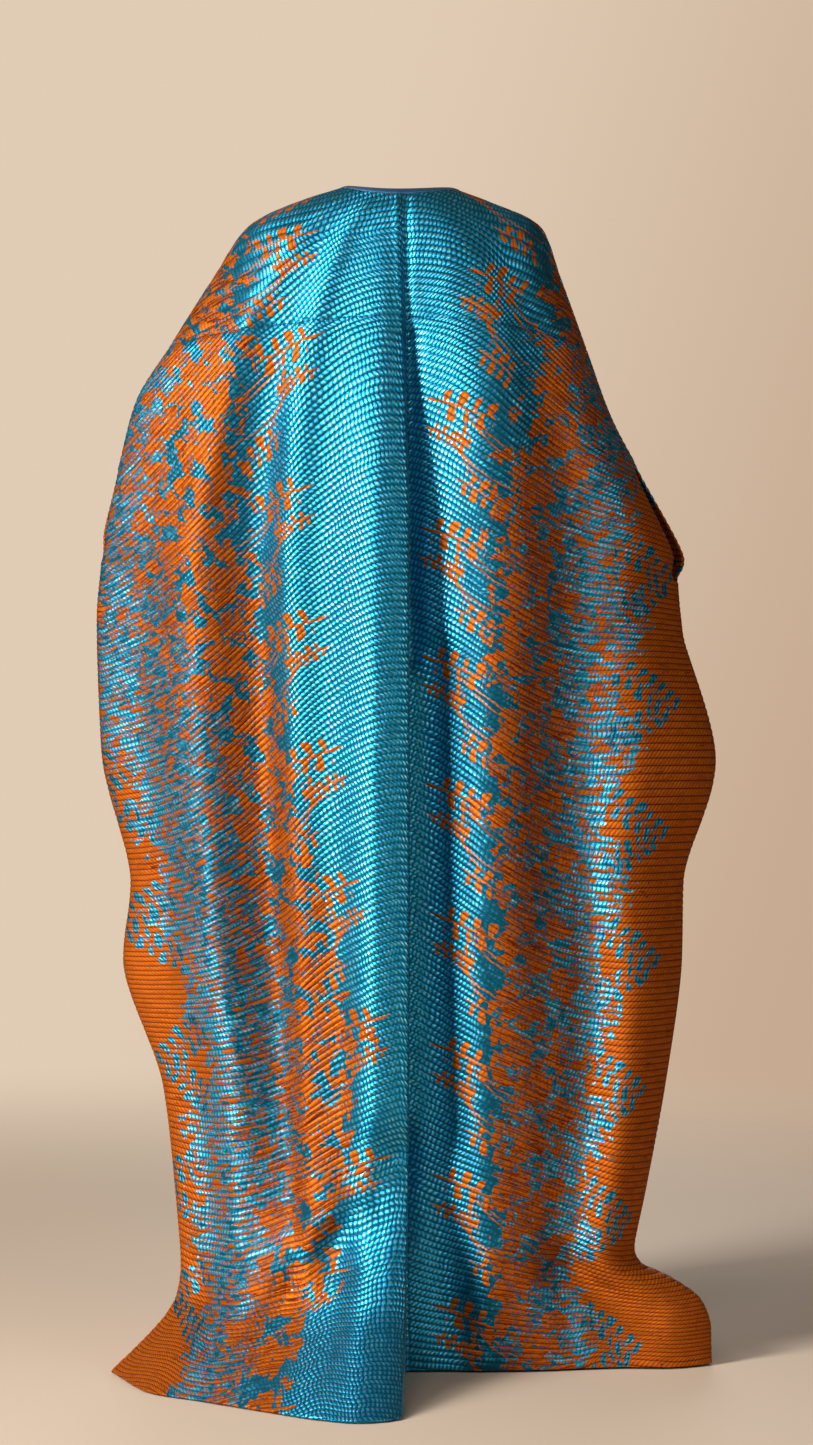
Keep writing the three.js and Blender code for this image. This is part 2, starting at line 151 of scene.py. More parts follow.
FRONT_FOLDS = columns_of(FOLD_COLUMNS, (
    ("right side", -1, -1, -1, -1, 0, 0, 0, 0, 0, 0, 0, 0),
    ("right outer trough", -0.8, -0.8, -0.84, -0.86, 0, 0, 0, -6, -12, -12, -8, 0),
    ("right outer ridge", -0.58, -0.62, -0.66, -0.68, 0, 0, 4, 18, 22, 16, 14, 14),
    ("right inner trough", -0.38, -0.44, -0.45, -0.44, 0, 0, -4, -12, -18, -18, -12, -8),
    ("right inner ridge", -0.2, -0.24, -0.22, -0.2, 0, 0, 2, 14, 22, 24, 20, 20),
    ("middle", 0, 0, 0, 0, 0, 0, 0, -6, -10, -8, -4, 0),
    ("left inner ridge", 0.22, 0.2, 0.19, 0.18, 0, 0, 2, 16, 24, 22, 20, 24),
    ("left inner trough", 0.4, 0.42, 0.41, 0.4, 0, 0, -4, -14, -20, -16, -10, -6),
    ("left outer ridge", 0.6, 0.62, 0.63, 0.66, 0, 0, 4, 16, 20, 18, 16, 18),
    ("left outer trough", 0.8, 0.8, 0.82, 0.84, 0, 0, 0, -8, -12, -10, -6, 0),
    ("left side", 1, 1, 1, 1, 0, 0, 0, 0, 0, 0, 0, 0),
))

# Soft creases: each a ridge or a trough along a line from one end to the other.
CREASE_COLUMNS = ("name", "from_x", "from_z", "to_x", "to_z", "width", "proud")
BACK_CREASES = columns_of(CREASE_COLUMNS, (
    ("train ridge's top", 34, -1296, 84, -1350, 24, 8),
    ("train ridge", 84, -1350, 236, -1506, 30, 17),
    ("train hollow's top", 62, -1330, 92, -1405, 34, -12),
    ("train hollow", 98, -1424, 170, -1511, 44, -26),
    ("train crest, eased", 66, -1430, 76, -1569, 30, -10),
    ("flap valley", 266, -1436, 240, -1525, 14, -44),
    ("right lobe hollow", -215, -1440, -330, -1500, 28, -40),
))
BACK_FINE_CREASES = columns_of(CREASE_COLUMNS, (
    ("yoke pleat's edge", 3, -24, 2, -205, 6, 2),
    ("yoke pleat's foot", -9, -24, -10, -205, 7, -2.2),
    ("lap pinch", 24, -1290, 48, -1378, 40, -26),
    ("under the lap", -11, -215, -15, -640, 14, -9),
    ("right of the lap", -50, -640, -68, -1500, 36, -13),
    ("left shoulder drag", 118, -120, 182, -250, 16, 4),
    ("left arm fold", 205, -190, 262, -420, 20, 7),
    ("left arm hollow", 236, -250, 300, -450, 18, -6),
    ("right shoulder drag", -112, -118, -150, -262, 16, 4),
    ("right arm fold", -170, -215, -262, -400, 18, 6),
    ("left cuff crease", 388, -500, 300, -640, 18, -6),
    ("left side fold", 330, -640, 300, -880, 20, 6),
    ("right cuff crease", -352, -520, -262, -640, 16, -6),
    ("right side fold", -330, -640, -318, -860, 20, 6),
    ("left knee fold", 262, -900, 214, -1180, 20, 6),
    ("right knee fold", -225, -900, -210, -1220, 18, 6),
    ("right shin hollow", -118, -1000, -150, -1330, 20, -5),
    ("right hem crease", -205, -1390, -224, -1540, 14, -7),
    ("right hem fold", -120, -1420, -106, -1550, 18, 6),
    ("train edge wrinkle", 60, -1490, 96, -1556, 12, 4),
))
FRONT_FINE_CREASES = columns_of(CREASE_COLUMNS, (
    ("left neck drag", 92, -150, 58, -330, 14, 5),
    ("right neck drag", -88, -150, -52, -340, 14, 5),
    ("left arm fold", 212, -220, 280, -440, 20, 7),
    ("right arm fold", -180, -220, -262, -430, 18, 7),
    ("left side fold", 300, -600, 262, -900, 22, -7),
    ("right side fold", -290, -610, -258, -880, 22, -7),
    ("left shin fold", 120, -980, 92, -1380, 22, 6),
    ("right shin fold", -132, -960, -100, -1360, 22, 6),
))

# Where the sprays' tips lie on each side, and how wide the patterned band is from there to the
# plain border, in millimetres against height.
TIP_COLUMNS = ("z", "x")
LEFT_TIPS = columns_of(TIP_COLUMNS, (
    (-1569, 128), (-1500, 100), (-1425, 64), (-1350, 32), (-1283, 8), (-1100, 12), (-927, 50),
    (-754, 72), (-585, 95), (-412, 113), (-300, 108), (-209, 99), (-69, 108), (0, 60),
))
RIGHT_TIPS = columns_of(TIP_COLUMNS, (
    (-1569, 40), (-1350, 40), (-980, 40), (-810, 33), (-640, 26), (-460, 24), (-290, 33),
    (-200, 62), (-118, 92), (0, 60),
))
FRONT_TIPS = columns_of(TIP_COLUMNS, (
    (-1569, 62), (-1200, 58), (-800, 66), (-420, 74), (-250, 90), (0, 96),
))
BAND_COLUMNS = ("z", "width")
LEFT_BAND = columns_of(BAND_COLUMNS, (
    (-1569, 200), (-1450, 220), (-1300, 300), (-1160, 295), (-1000, 335), (-820, 350),
    (-700, 425), (-500, 520), (0, 520),
))
RIGHT_BAND = columns_of(BAND_COLUMNS, (
    (-1569, 215), (-1350, 232), (-1160, 250), (-950, 280), (-800, 290), (-600, 320),
    (-430, 300), (-330, 420), (0, 460),
))
FRONT_BAND = columns_of(BAND_COLUMNS, (
    (-1569, 210), (-1200, 240), (-800, 270), (-450, 290), (-330, 400), (0, 460),
))
# Depths of the left sprays' tips, one repeat apart; the right ones keep one distance all the way.
LEFT_TIP_DEPTHS = np.array((-101, 69, 209, 412, 585, 754, 927, 1100, 1283, 1425, 1560, 1700), float)
RIGHT_TIP_DOWN = 0.124
# The garland stands further from the sprays where the band is wide.
GARLAND_SHIFT = 0.35
GARLAND_WIDTHS = {"left": 430, "right": 270}

# The pattern starts again after this many ribs, which lie at this pitch in metres.
REPEAT_RIBS = 19
RIB_PITCH = 0.00896
# How steeply the ribs fall away from the middle, as rise over run, at distances from the lap.
RUNS = np.array((0, 20, 60, 100, 140, 180, 220, 260, 300, 340, 400), float)
SLOPE_COLUMNS = ("z",) + tuple(f"run_{run:.0f}" for run in RUNS)
LEFT_SLOPES = columns_of(SLOPE_COLUMNS, (
    (-1560, 0, 0.05, 0.25, 0.4, 0.3, 0.2, 0.1, -0.2, -0.6, -0.8, -0.8),
    (-1420, 0, 0.15, 0.5, 0.6, 0.5, 0.3, 0.15, -0.1, -0.6, -0.8, -0.8),
    (-1200, 0.3, 0.42, 0.5, 0.75, 0.65, 0.25, 0.15, 0.05, -0.1, -0.1, 0),
    (-950, 0.2, 0.35, 0.55, 0.9, 0.95, 0.68, 0.66, 0.5, 0.3, 0.1, 0),
    (-700, 0.1, 0.2, 0.5, 0.84, 0.9, 1.0, 0.96, 0.78, 0.62, 0.42, 0.3),
    (-450, 0.1, 0.2, 0.6, 0.8, 0.86, 0.95, 0.98, 0.93, 0.9, 0.8, 0.8),
    (-250, 0, 0.1, 0.4, 0.7, 0.8, 0.85, 0.9, 0.95, 1.0, 1.1, 1.2),
    (-60, 0, 0.05, 0.12, 0.28, 0.4, 0.5, 0.6, 0.8, 0.9, 1.0, 1.0),
))
RIGHT_SLOPES = columns_of(SLOPE_COLUMNS, (
    (-1560, 0, 0.05, 0.1, 0.1, 0.05, 0.05, 0, 0, 0, 0, 0),
    (-1400, 0.3, 0.4, 0.3, 0.25, 0.35, 0.5, 0.5, 0.4, 0.2, 0, 0),
    (-1200, 0.5, 0.6, 0.5, 0.42, 0.45, 0.55, 0.45, 0.2, 0, 0, 0),
    (-950, 0.4, 0.6, 0.68, 0.66, 0.6, 0.5, 0.32, 0.1, 0, 0, 0),
    (-700, 0.3, 0.4, 0.53, 0.7, 0.6, 0.45, 0.25, 0, -0.1, 0, 0),
    (-450, 0.2, 0.4, 0.65, 0.68, 0.58, 0.5, 0.45, 0.3, 0.3, 0.4, 0.4),
    (-250, 0, 0.2, 0.45, 0.6, 0.65, 0.7, 0.8, 1.0, 1.0, 1.1, 1.1),
    (-60, 0, 0.05, 0.15, 0.35, 0.45, 0.6, 0.8, 1.0, 1.0, 1.0, 1.0),
))
FRONT_SLOPES = columns_of(SLOPE_COLUMNS, (
    (-1560, 0, 0, 0.05, 0.05, 0.05, 0, 0, 0, 0, 0, 0),
    (-1200, 0.1, 0.15, 0.2, 0.2, 0.2, 0.15, 0.1, 0, 0, 0, 0),
    (-700, 0.1, 0.2, 0.3, 0.35, 0.35, 0.3, 0.25, 0.1, 0, 0, 0),
    (-450, 0.1, 0.2, 0.35, 0.4, 0.45, 0.45, 0.4, 0.3, 0.3, 0.3, 0.3),
    (-200, 0, 0.1, 0.3, 0.4, 0.5, 0.6, 0.7, 0.8, 0.9, 1.0, 1.0),
))
# The tables of each side, the left first; the front's are the same on both.
BACK_TABLES = ((LEFT_TIPS, LEFT_BAND, LEFT_SLOPES), (RIGHT_TIPS, RIGHT_BAND, RIGHT_SLOPES))
FRONT_TABLES = ((FRONT_TIPS, FRONT_BAND, FRONT_SLOPES),) * 2
SHOULDER_CURL_TOP = -0.12
SHOULDER_CURL_FOOT = -0.36
CURL_SHARE = 0.8
TRAIN_TOP = -1.15
TRAIN_EASE = 0.1
LEAST_RATE = 0.35
RATE_BACK_FROM = -0.3
RATE_BACK_RUN = 0.5

# ---------------------------------------------------------------- sizes of the mesh
STEPS_PER_LEVEL = 30
ROWS_PER_RIB = 5
BACK_COLUMNS = 88
YOKE_COLUMNS = 190
FRONT_COLUMNS = 72
NECK_STEPS = 150
NECK_COLUMNS = 90
SEAM_DIP = 0.0005
SEAM_DIP_WIDTH = 0.0035
HEM_WIDTH = 0.011
HEM_SWELL = 0.0007
HEM_EASE = 0.003
HEM_FLATTENING = 0.45
BINDING_COVER = 0.95
LEAST_RISE = 1e-7
LEAST_LENGTH = 1e-12
RIB_ROUNDNESS = 0.75
MERGE_DISTANCE = 2e-6

# Section of the neck binding: cloth length below the neck edge, and height off the cloth, in mm,
# drawn for a width of 9 mm. The strip is cut wider by a share, and its ends meet over a short gap.
BINDING_SECTION_WIDTH = 0.009
BINDING_JOIN = 0.002
BINDING_SECTION = (
    (0.2, -0.6), (-0.5, 0.1), (-0.2, 0.9), (0.8, 1.35), (2.4, 1.5), (4.4, 1.55), (6.4, 1.45),
    (8.0, 1.15), (9.2, 0.4), (9.2, -0.6), (8.8, -2.5), (5.5, -2.9), (2.0, -2.7), (0.5, -1.9),
)


# ---------------------------------------------------------------- the cloth's surface
def smoothstep(t):
    t = np.clip(t, 0, 1)
    return t * t * (3 - 2 * t)


def mix(a, b, t):
    return a + (b - a) * t


def running_total(steps, axis=0):
    """Sums up to each place along an axis, starting from 0."""
    start = np.zeros_like(np.take(steps, [0], axis=axis))
    return np.concatenate([start, np.cumsum(steps, axis=axis)], axis=axis)


def lengths_down(points):
    """How far each point lies from the first, along its own column."""
    return running_total(np.linalg.norm(np.diff(points, axis=0), axis=-1))


def unit(vectors):
    return vectors / np.maximum(np.linalg.norm(vectors, axis=-1, keepdims=True), LEAST_LENGTH)


def smooth_curve(xs, ys, x):
    """Value at x of the smooth curve through knots, which lie in the last axis of xs and ys."""
    x = np.asarray(x, float)
    xs = np.broadcast_to(xs, x.shape + np.shape(xs)[-1:])
    ys = np.broadcast_to(ys, x.shape + np.shape(ys)[-1:])
    x = np.clip(x, xs[..., 0], xs[..., -1])
    rises = np.diff(ys) / np.diff(xs)
    product = rises[..., :-1] * rises[..., 1:]
    total = rises[..., :-1] + rises[..., 1:]
    inner = np.where(product > 0, 2 * product / np.where(total == 0, 1, total), 0)
    slopes = np.concatenate([rises[..., :1], inner, rises[..., -1:]], axis=-1)
    left = np.sum(x[..., None] > xs[..., 1:-1], axis=-1)[..., None]

    def pick(values, offset):
        return np.take_along_axis(values, left + offset, axis=-1)[..., 0]

    span = pick(xs, 1) - pick(xs, 0)
    t = (x - pick(xs, 0)) / span
    t2, t3 = t * t, t * t * t
    return ((2 * t3 - 3 * t2 + 1) * pick(ys, 0) + (t3 - 2 * t2 + t) * span * pick(slopes, 0)
            + (3 * t2 - 2 * t3) * pick(ys, 1) + (t3 - t2) * span * pick(slopes, 1))


def at_level(key, levels):
    """A ring's number at each level, as a column."""
    numbers = np.arange(HEM_LEVEL + 1, dtype=float)
    return smooth_curve(numbers, LEVELS[key], levels)[:, None]


def half_width(key, levels, share):
    """Half width of the rings on one side, eased towards the middle so that dents fade out."""
    ring = at_level(key, levels)
    near = [at_level(key, np.clip(levels + offset, 0, HEM_LEVEL)) for offset in EASED_LEVELS]
    at_side = smoothstep((np.abs(share) - DENTS_FROM) / (1 - DENTS_FROM))
    below_yoke = smoothstep((levels[:, None] - YOKE_SEAM_LEVEL + 1) / 3)
    return mix(ring, mix(sum(near) / len(near), ring, at_side), below_yoke)


def fold_at(folds, share, middle_z):
    """How far a sheet stands out and leans sideways at a share of its half width."""
    def along_height(heights, columns):
        rows = zip(*[folds[column] for column in columns])
        knots = [smooth_curve(heights, np.array(row), middle_z) for row in rows]
        return np.stack(knots, axis=-1)

    shape = share.shape + folds["lean"].shape
    places = np.broadcast_to(along_height(PLACE_HEIGHTS, PLACE_COLUMNS), shape)
    prouds = np.broadcast_to(along_height(PROUD_HEIGHTS, PROUD_COLUMNS), shape)
    grown = smoothstep((FOLDS_GROW_FROM - middle_z) / FOLDS_GROW_RUN)
    return smooth_curve(places, prouds, share), grown * smooth_curve(places, folds["lean"], share)


def crease_at(creases, x, z):
    """Sum of the soft creases at points of a sheet, in millimetres."""
    total = np.zeros(np.broadcast(x, z).shape)
    for from_x, from_z, to_x, to_z, width, proud in zip(
            *[creases[column] for column in CREASE_COLUMNS[1:]]):
        dx, dz = to_x - from_x, to_z - from_z
        along = np.clip(((x - from_x) * dx + (z - from_z) * dz) / (dx * dx + dz * dz), 0, 1)
        away = np.hypot(x - from_x - along * dx, z - from_z - along * dz)
        total += proud * np.exp(-((away / width) ** 2))
    return total


def cloth_points(is_back, acrosses, levels):
    """Outer points of the back or front sheet in metres, a row for each level from the neck."""
    across = acrosses[None, :]
    roundness, vee = at_level("roundness", levels), at_level("vee", levels)
    share = across + (np.sin(math.pi * across / 2) - across) * (1 - roundness) / 0.5
    leftness = (1 + share) / 2
    half = mix(half_width("right_half", levels, share), half_width("left_half", levels, share), leftness)
    side_z = mix(at_level("right_z", levels), at_level("left_z", levels), leftness)
    side_y = mix(at_level("right_y", levels), at_level("left_y", levels), leftness)
    middle = "back" if is_back else "front"
    middle_y, middle_z = at_level(middle + "_y", levels), at_level(middle + "_z", levels)
    bulge = np.maximum(0, 1 - share * share)
    dip = bulge if is_back else mix(bulge, 1 - np.abs(share), vee)
    proud, lean = fold_at(BACK_FOLDS if is_back else FRONT_FOLDS, share, middle_z)
    x = half * share
    z = side_z + (middle_z - side_z) * dip
    if is_back:
        clear_of_lap = smoothstep((np.abs(x) - CREASE_FREE_HALF) / CREASE_FREE_HALF)
        proud = proud + bulge * (clear_of_lap * crease_at(BACK_CREASES, x, z)
                                 + crease_at(BACK_FINE_CREASES, x, z))
    else:
        proud = proud + bulge * crease_at(FRONT_FINE_CREASES, x, z)
    y = side_y + (middle_y - side_y) * bulge ** roundness + (proud if is_back else -proud)
    x = x + lean
    along_slit = (levels - CUFF_TOP_LEVEL) / (CUFF_END_LEVEL - CUFF_TOP_LEVEL)
    gape = np.where((along_slit > 0) & (along_slit < 1),
                    np.abs(np.sin(math.pi * along_slit)) ** SLIT_BOW, 0)[:, None]
    gape = gape * smoothstep((np.abs(share) - GAPE_FROM) / (1 - GAPE_FROM))
    if is_back:
        x = x - gape * np.where(share > 0, CUFF_PULL["left"], -CUFF_PULL["right"])
        y = y + gape * CUFF_BACK_DEPTH
    else:
        y = y - gape * CUFF_FRONT_DEPTH
    return np.stack([x, y, z], axis=-1) * MM


def grid_normals(points, is_back):
    """Unit outward directions over a grid of points."""
    down, across = np.gradient(points, axis=0), np.gradient(points, axis=1)
    normals = unit(np.cross(down, across))
    outward = normals[..., 1].mean() > 0
    return normals if outward == is_back else -normals


def edge_normals(is_back, side, levels):
    """Directions that both sheets share along one side, except where the sleeve's slit parts them."""
    near_side = np.array((side, side * NEAR_SIDE))
    own, other = [
        grid_normals(cloth_points(sheet, near_side[::-1] if side > 0 else near_side, levels), sheet)
        for sheet in (is_back, not is_back)]
    place = -1 if side > 0 else 0
    own, other = own[:, place], other[:, place]
    in_slit = (levels > CUFF_TOP_LEVEL) & (levels < CUFF_END_LEVEL)
    return unit(np.where(in_slit[:, None], own, own + other))


def spread_across(start, end, count):
    """Places across a sheet from one seam to the other, crowded together at the lap."""
    fine = np.linspace(start, end, SPREAD_STEPS + 1)
    weights = 1 + LAP_CROWDING * np.exp(-((fine / LAP_HALF_WIDTH) ** 2))
    travelled = running_total((weights[1:] + weights[:-1]) / 2)
    return np.interp(np.linspace(0, travelled[-1], count), travelled, fine)


# ---------------------------------------------------------------- the pattern's coordinates
def rib_fall(slopes, run, z):
    """How far the ribs have fallen at a run from the middle, in millimetres."""
    knots = np.stack([smooth_curve(slopes["z"], slopes[f"run_{place:.0f}"], z) for place in RUNS], axis=-1)
    steps = (knots[..., 1:] + knots[..., :-1]) / 2 * np.diff(RUNS)
    return smooth_curve(RUNS, running_total(steps, axis=-1), np.clip(run, 0, RUNS[-1]))


def with_least_rate(ribs, points, z):
    """The ribs' coordinate, made to grow down every column at no less than a share of its length.
    What this adds near the shoulders is taken back further down."""
    lengths = np.linalg.norm(np.diff(points, axis=0), axis=-1)
    added = running_total(np.maximum(0, lengths * LEAST_RATE - np.diff(ribs, axis=0)))
    return ribs + added * (1 - smoothstep((RATE_BACK_FROM - z) / RATE_BACK_RUN))


def down_train(points):
    """Cloth length that the train adds to the height, counted from its top."""
    z = points[..., 2]
    deeper = np.linalg.norm(np.diff(points[..., 1:], axis=0), axis=-1) - np.abs(np.diff(z, axis=0))
    extra = running_total(deeper)
    extra = extra - extra[np.argmin(np.abs(z - TRAIN_TOP), axis=0), np.arange(points.shape[1])]
    return np.maximum(0, extra) * smoothstep((TRAIN_TOP - z) / TRAIN_EASE)


def from_tips(outward, reach, on_left, tips):
    """Distances along the cloth from the sprays' tips, which lie at a reach from the middle."""
    travel = np.empty_like(outward)
    for row in range(len(outward)):
        for side in (on_left[0], ~on_left[0]):
            if side.any():
                order = np.argsort(outward[row, side])
                far = np.maximum.accumulate(reach[row, side][order])
                travel[row, side] = np.interp(tips[row, side] * MM, far, outward[row, side][order])
    return outward - travel


def pattern_coordinates(is_back, acrosses, points):
    """The pattern's place at each point: out from the sprays' tips, down the ribs, straight down
    the cloth, the share of the patterned band, and out from the garland's start."""
    x, y, z = points[..., 0], points[..., 1], points[..., 2]
    middle = BACK_SEAM if is_back else 0.0
    on_left = (acrosses > middle)[None, :]
    z_mm, run = z / MM, np.abs(x / MM)
    tables = BACK_TABLES if is_back else FRONT_TABLES
    sides = [(np.interp(z_mm, tips["z"], tips["x"]), np.interp(z_mm, band["z"], band["width"]),
              rib_fall(slopes, run, z_mm)) for tips, band, slopes in tables]
    tips, band, fall = [np.where(on_left, left, right) for left, right in zip(*sides)]
    travelled = running_total(np.linalg.norm(np.diff(points[..., :2], axis=1), axis=-1), axis=1)
    centre = np.array([np.interp(middle, acrosses, row) for row in travelled])[:, None]
    out = from_tips(np.abs(travelled - centre), np.where(on_left, x, -x), on_left, tips)
    extra = down_train(points)
    curl = smoothstep((z - SHOULDER_CURL_FOOT) / (SHOULDER_CURL_TOP - SHOULDER_CURL_FOOT))
    mid_y = y[:, [np.argmin(np.abs(acrosses - middle))]]
    ribs = -z - fall * MM + extra + curl * (np.abs(y) - np.abs(mid_y)) * CURL_SHARE
    ribs = with_least_rate(ribs, points, z)
    down = -z + extra - RIGHT_TIP_DOWN
    if is_back:
        turns = np.interp(-z_mm, LEFT_TIP_DEPTHS, np.arange(len(LEFT_TIP_DEPTHS)))
        down = np.where(on_left, turns * REPEAT_RIBS * RIB_PITCH, down)
    usual = np.where(on_left, GARLAND_WIDTHS["left"], GARLAND_WIDTHS["right"])
    return out, ribs, down, out / (band * MM), out - GARLAND_SHIFT * (band - usual) * MM


# ---------------------------------------------------------------- meshes
def placed_grid(bm, points):
    """A grid of the bmesh's own, moved onto rows of points, as rows of vertices."""
    rows, columns = points.shape[:2]
    made = bmesh.ops.create_grid(bm, x_segments=columns - 1, y_segments=rows - 1, size=1.0)["verts"]
    grid = np.empty((rows, columns), dtype=object)
    for vert in made:
        row = round((vert.co.y + 1) / 2 * (rows - 1))
        column = round((vert.co.x + 1) / 2 * (columns - 1))
        grid[row, column] = vert
        vert.co = points[row, column]
    return grid


def join_rims(bm, outer, inner, kept_rows):
    """Closes a shell along its four edges; the inner skin holds only the kept rows of the outer."""
    for column in (0, -1):
        for k, (top, bottom) in enumerate(zip(kept_rows[:-1], kept_rows[1:])):
            bm.faces.new([*outer[top:bottom + 1, column], inner[k + 1, column], inner[k, column]])
    for edge in (0, -1):
        for c in range(outer.shape[1] - 1):
            bm.faces.new([outer[edge, c], outer[edge, c + 1], inner[edge, c + 1], inner[edge, c]])


def finished_piece(name, bm, material):
    """The bmesh as a named, smooth-shaded object in the scene, made of one material."""
    mesh = bpy.data.meshes.new(name)
    bm.to_mesh(mesh)
    bm.free()
    mesh.shade_smooth()
    mesh.materials.append(material)
    piece = bpy.data.objects.new(name, mesh)
    bpy.context.collection.objects.link(piece)
    return piece


def rib_height(phase):
    """Height of a rib's rounded back at its phase, from 0 in the valley to 1 on the crest."""
    return np.abs(np.sin(math.pi * phase)) ** RIB_ROUNDNESS


def rows_along_ribs(ribs, first, pitch):
    """Rows of points that keep to the ribs: the rows' numbers, the ribs' coordinate at each
    point, and the place among the levels where it lies. Each column starts at its first place."""
    numbers, columns = np.arange(len(ribs)), range(ribs.shape[1])
    starts = np.array([np.interp(first[c], numbers, ribs[:, c]) for c in columns])
    step = pitch / ROWS_PER_RIB
    rows = np.arange(math.floor(starts.min() / step), math.ceil(ribs[-1].max() / step) + 1)
    row_ribs = np.clip(rows[:, None] * step, starts[None, :], ribs[-1][None, :])
    places = np.stack([np.interp(row_ribs[:, c], ribs[:, c], numbers) for c in columns], axis=1)
    return rows, row_ribs, places


def relief(row_ribs, has_top_seam, is_hem, settings):
    """How far each point stands out of the cloth: ribs, sunk seams and the hem's turn."""
    from_top, from_bottom = row_ribs - row_ribs[0], row_ribs[-1] - row_ribs
    seam = np.exp(-(from_top / SEAM_DIP_WIDTH) ** 2) if has_top_seam else np.zeros_like(from_top)
    if not is_hem:
        seam = seam + np.exp(-(from_bottom / SEAM_DIP_WIDTH) ** 2)
    hem = smoothstep((HEM_WIDTH - from_bottom) / HEM_EASE) if is_hem else 0
    ribs = rib_height(row_ribs / settings.rib_pitch) * settings.rib_height
    return ribs * (1 - HEM_FLATTENING * hem) * (1 - seam) - SEAM_DIP * seam + HEM_SWELL * hem


def cloth_panel(name, is_back, acrosses, top, bottom, settings):
    """A panel of cloth as a thin closed shell, ribbed outside and plain inside."""
    levels = np.linspace(top, bottom, int(STEPS_PER_LEVEL * (bottom - top)) + 1)
    points = cloth_points(is_back, acrosses, levels)
    normals = grid_normals(points, is_back)
    for column, across in ((0, acrosses[0]), (-1, acrosses[-1])):
        if abs(across) == 1:
            normals[:, column] = edge_normals(is_back, across, levels)
    out, ribs, down, share, garland = pattern_coordinates(is_back, acrosses, points)
    numbers = np.arange(len(levels))
    ribs = np.maximum.accumulate(ribs + LEAST_RISE * numbers[:, None], axis=0)
    first = np.zeros(len(acrosses))
    if top == 0:
        under_binding = settings.binding_width * BINDING_COVER
        first = np.array([np.interp(under_binding, lengths, numbers) for lengths in lengths_down(points).T])
    rows, row_ribs, places = rows_along_ribs(ribs, first, settings.rib_pitch)
    above = np.minimum(places.astype(int), len(levels) - 2)
    part = places - above
    columns = np.broadcast_to(np.arange(len(acrosses)), places.shape)

    def sampled(field):
        weight = part[..., None] if field.ndim == 3 else part
        return mix(field[above, columns], field[above + 1, columns], weight)

    surface, normal = sampled(points), unit(sampled(normals))
    proud = relief(row_ribs, top > 0, bottom == HEM_LEVEL, settings)
    kept = sorted({0, len(rows) - 1, *np.flatnonzero(rows % ROWS_PER_RIB == 0).tolist()})
    bm = bmesh.new()
    cloth = bm.verts.layers.float_vector.new("cloth")
    places_in_band = {bm.verts.layers.float.new(name): sampled(field)
                      for name, field in (("band", share), ("garland", garland))}
    outer = placed_grid(bm, surface + normal * proud[..., None])
    inner = placed_grid(bm, (surface - normal * settings.cloth_thickness)[kept])
    fields = np.stack([sampled(out), row_ribs, sampled(down)], axis=-1)
    for grid, grid_rows in ((outer, range(len(rows))), (inner, kept)):
        for vert_row, row in zip(grid, grid_rows):
            for c, vert in enumerate(vert_row):
                vert[cloth] = fields[row, c]
                for layer, field in places_in_band.items():
                    vert[layer] = field[row, c]
    join_rims(bm, outer, inner, kept)
    bmesh.ops.remove_doubles(bm, verts=bm.verts, dist=MERGE_DISTANCE)
    bmesh.ops.recalc_face_normals(bm, faces=bm.faces)
    return finished_piece(name, bm, brocade_material(settings))


# ---------------------------------------------------------------- materials
class Signal:
    """A number that varies over the surface, for writing shader arithmetic as plain sums."""

    def __init__(self, socket):
        self.socket = socket

    def math(self, operation, *others):
        return node_math(self.socket.node.id_data, operation, self, *others)

    def __add__(self, other):
        return self.math("ADD", other)

    def __sub__(self, other):
        return self.math("SUBTRACT", other)

    def __mul__(self, other):
        return self.math("MULTIPLY", other)

    def __truediv__(self, other):
        return self.math("DIVIDE", other)

    __radd__ = __add__
    __rmul__ = __mul__

    def __rsub__(self, other):
        return node_math(self.socket.node.id_data, "SUBTRACT", other, self)

    def __abs__(self):
        return self.math("ABSOLUTE")

    def floor(self):
        return self.math("FLOOR")

    def fract(self):
        return self.math("FRACT")

    def below(self, other):
        return self.math("LESS_THAN", other)

    def over(self, other):
        return self.math("GREATER_THAN", other)

    def either(self, other):
        return self.math("MAXIMUM", other)


def plug(tree, socket, value):
    """Links a signal or a socket to an input, or sets the input to a plain value."""
    if isinstance(value, Signal):
        tree.links.new(value.socket, socket)
    elif isinstance(value, bpy.types.NodeSocket):
        tree.links.new(value, socket)
    else:
        socket.default_value = value


def node_math(tree, operation, *values):
    node = tree.nodes.new("ShaderNodeMath")
    node.operation = operation
    for socket, value in zip(node.inputs, values):
        plug(tree, socket, value)
    return Signal(node.outputs[0])


def parts_of(tree, vector):
    """The three numbers of a vector."""
    node = tree.nodes.new("ShaderNodeSeparateXYZ")
    tree.links.new(vector, node.inputs[0])
    return [Signal(socket) for socket in node.outputs]


def carried(tree, name):
    """The node of what the mesh carries under a name at each of its points."""
    node = tree.nodes.new("ShaderNodeAttribute")
    node.attribute_name = name
    return node


def opaque(colour, shade=1.0):
    return (*[shade * value for value in colour], 1)


def bump_up(tree, shader, height, strength, distance):
    """Tilts the shader's normal as a height over the surface would."""
    bump = tree.nodes.new("ShaderNodeBump")
    bump.inputs["Strength"].default_value = strength
    bump.inputs["Distance"].default_value = distance
    plug(tree, bump.inputs["Height"], height)
    tree.links.new(bump.outputs[0], shader.inputs["Normal"])


def ramp(tree, value, low, high, to_low=0.0, to_high=1.0):
    """A value that moves smoothly from one level to another as the signal passes from low to high."""
    node = tree.nodes.new("ShaderNodeMapRange")
    node.interpolation_type = "SMOOTHSTEP"
    for name, given in (("Value", value), ("From Min", low), ("From Max", high),
                        ("To Min", to_low), ("To Max", to_high)):
        plug(tree, node.inputs[name], given)
    return Signal(node.outputs["Result"])


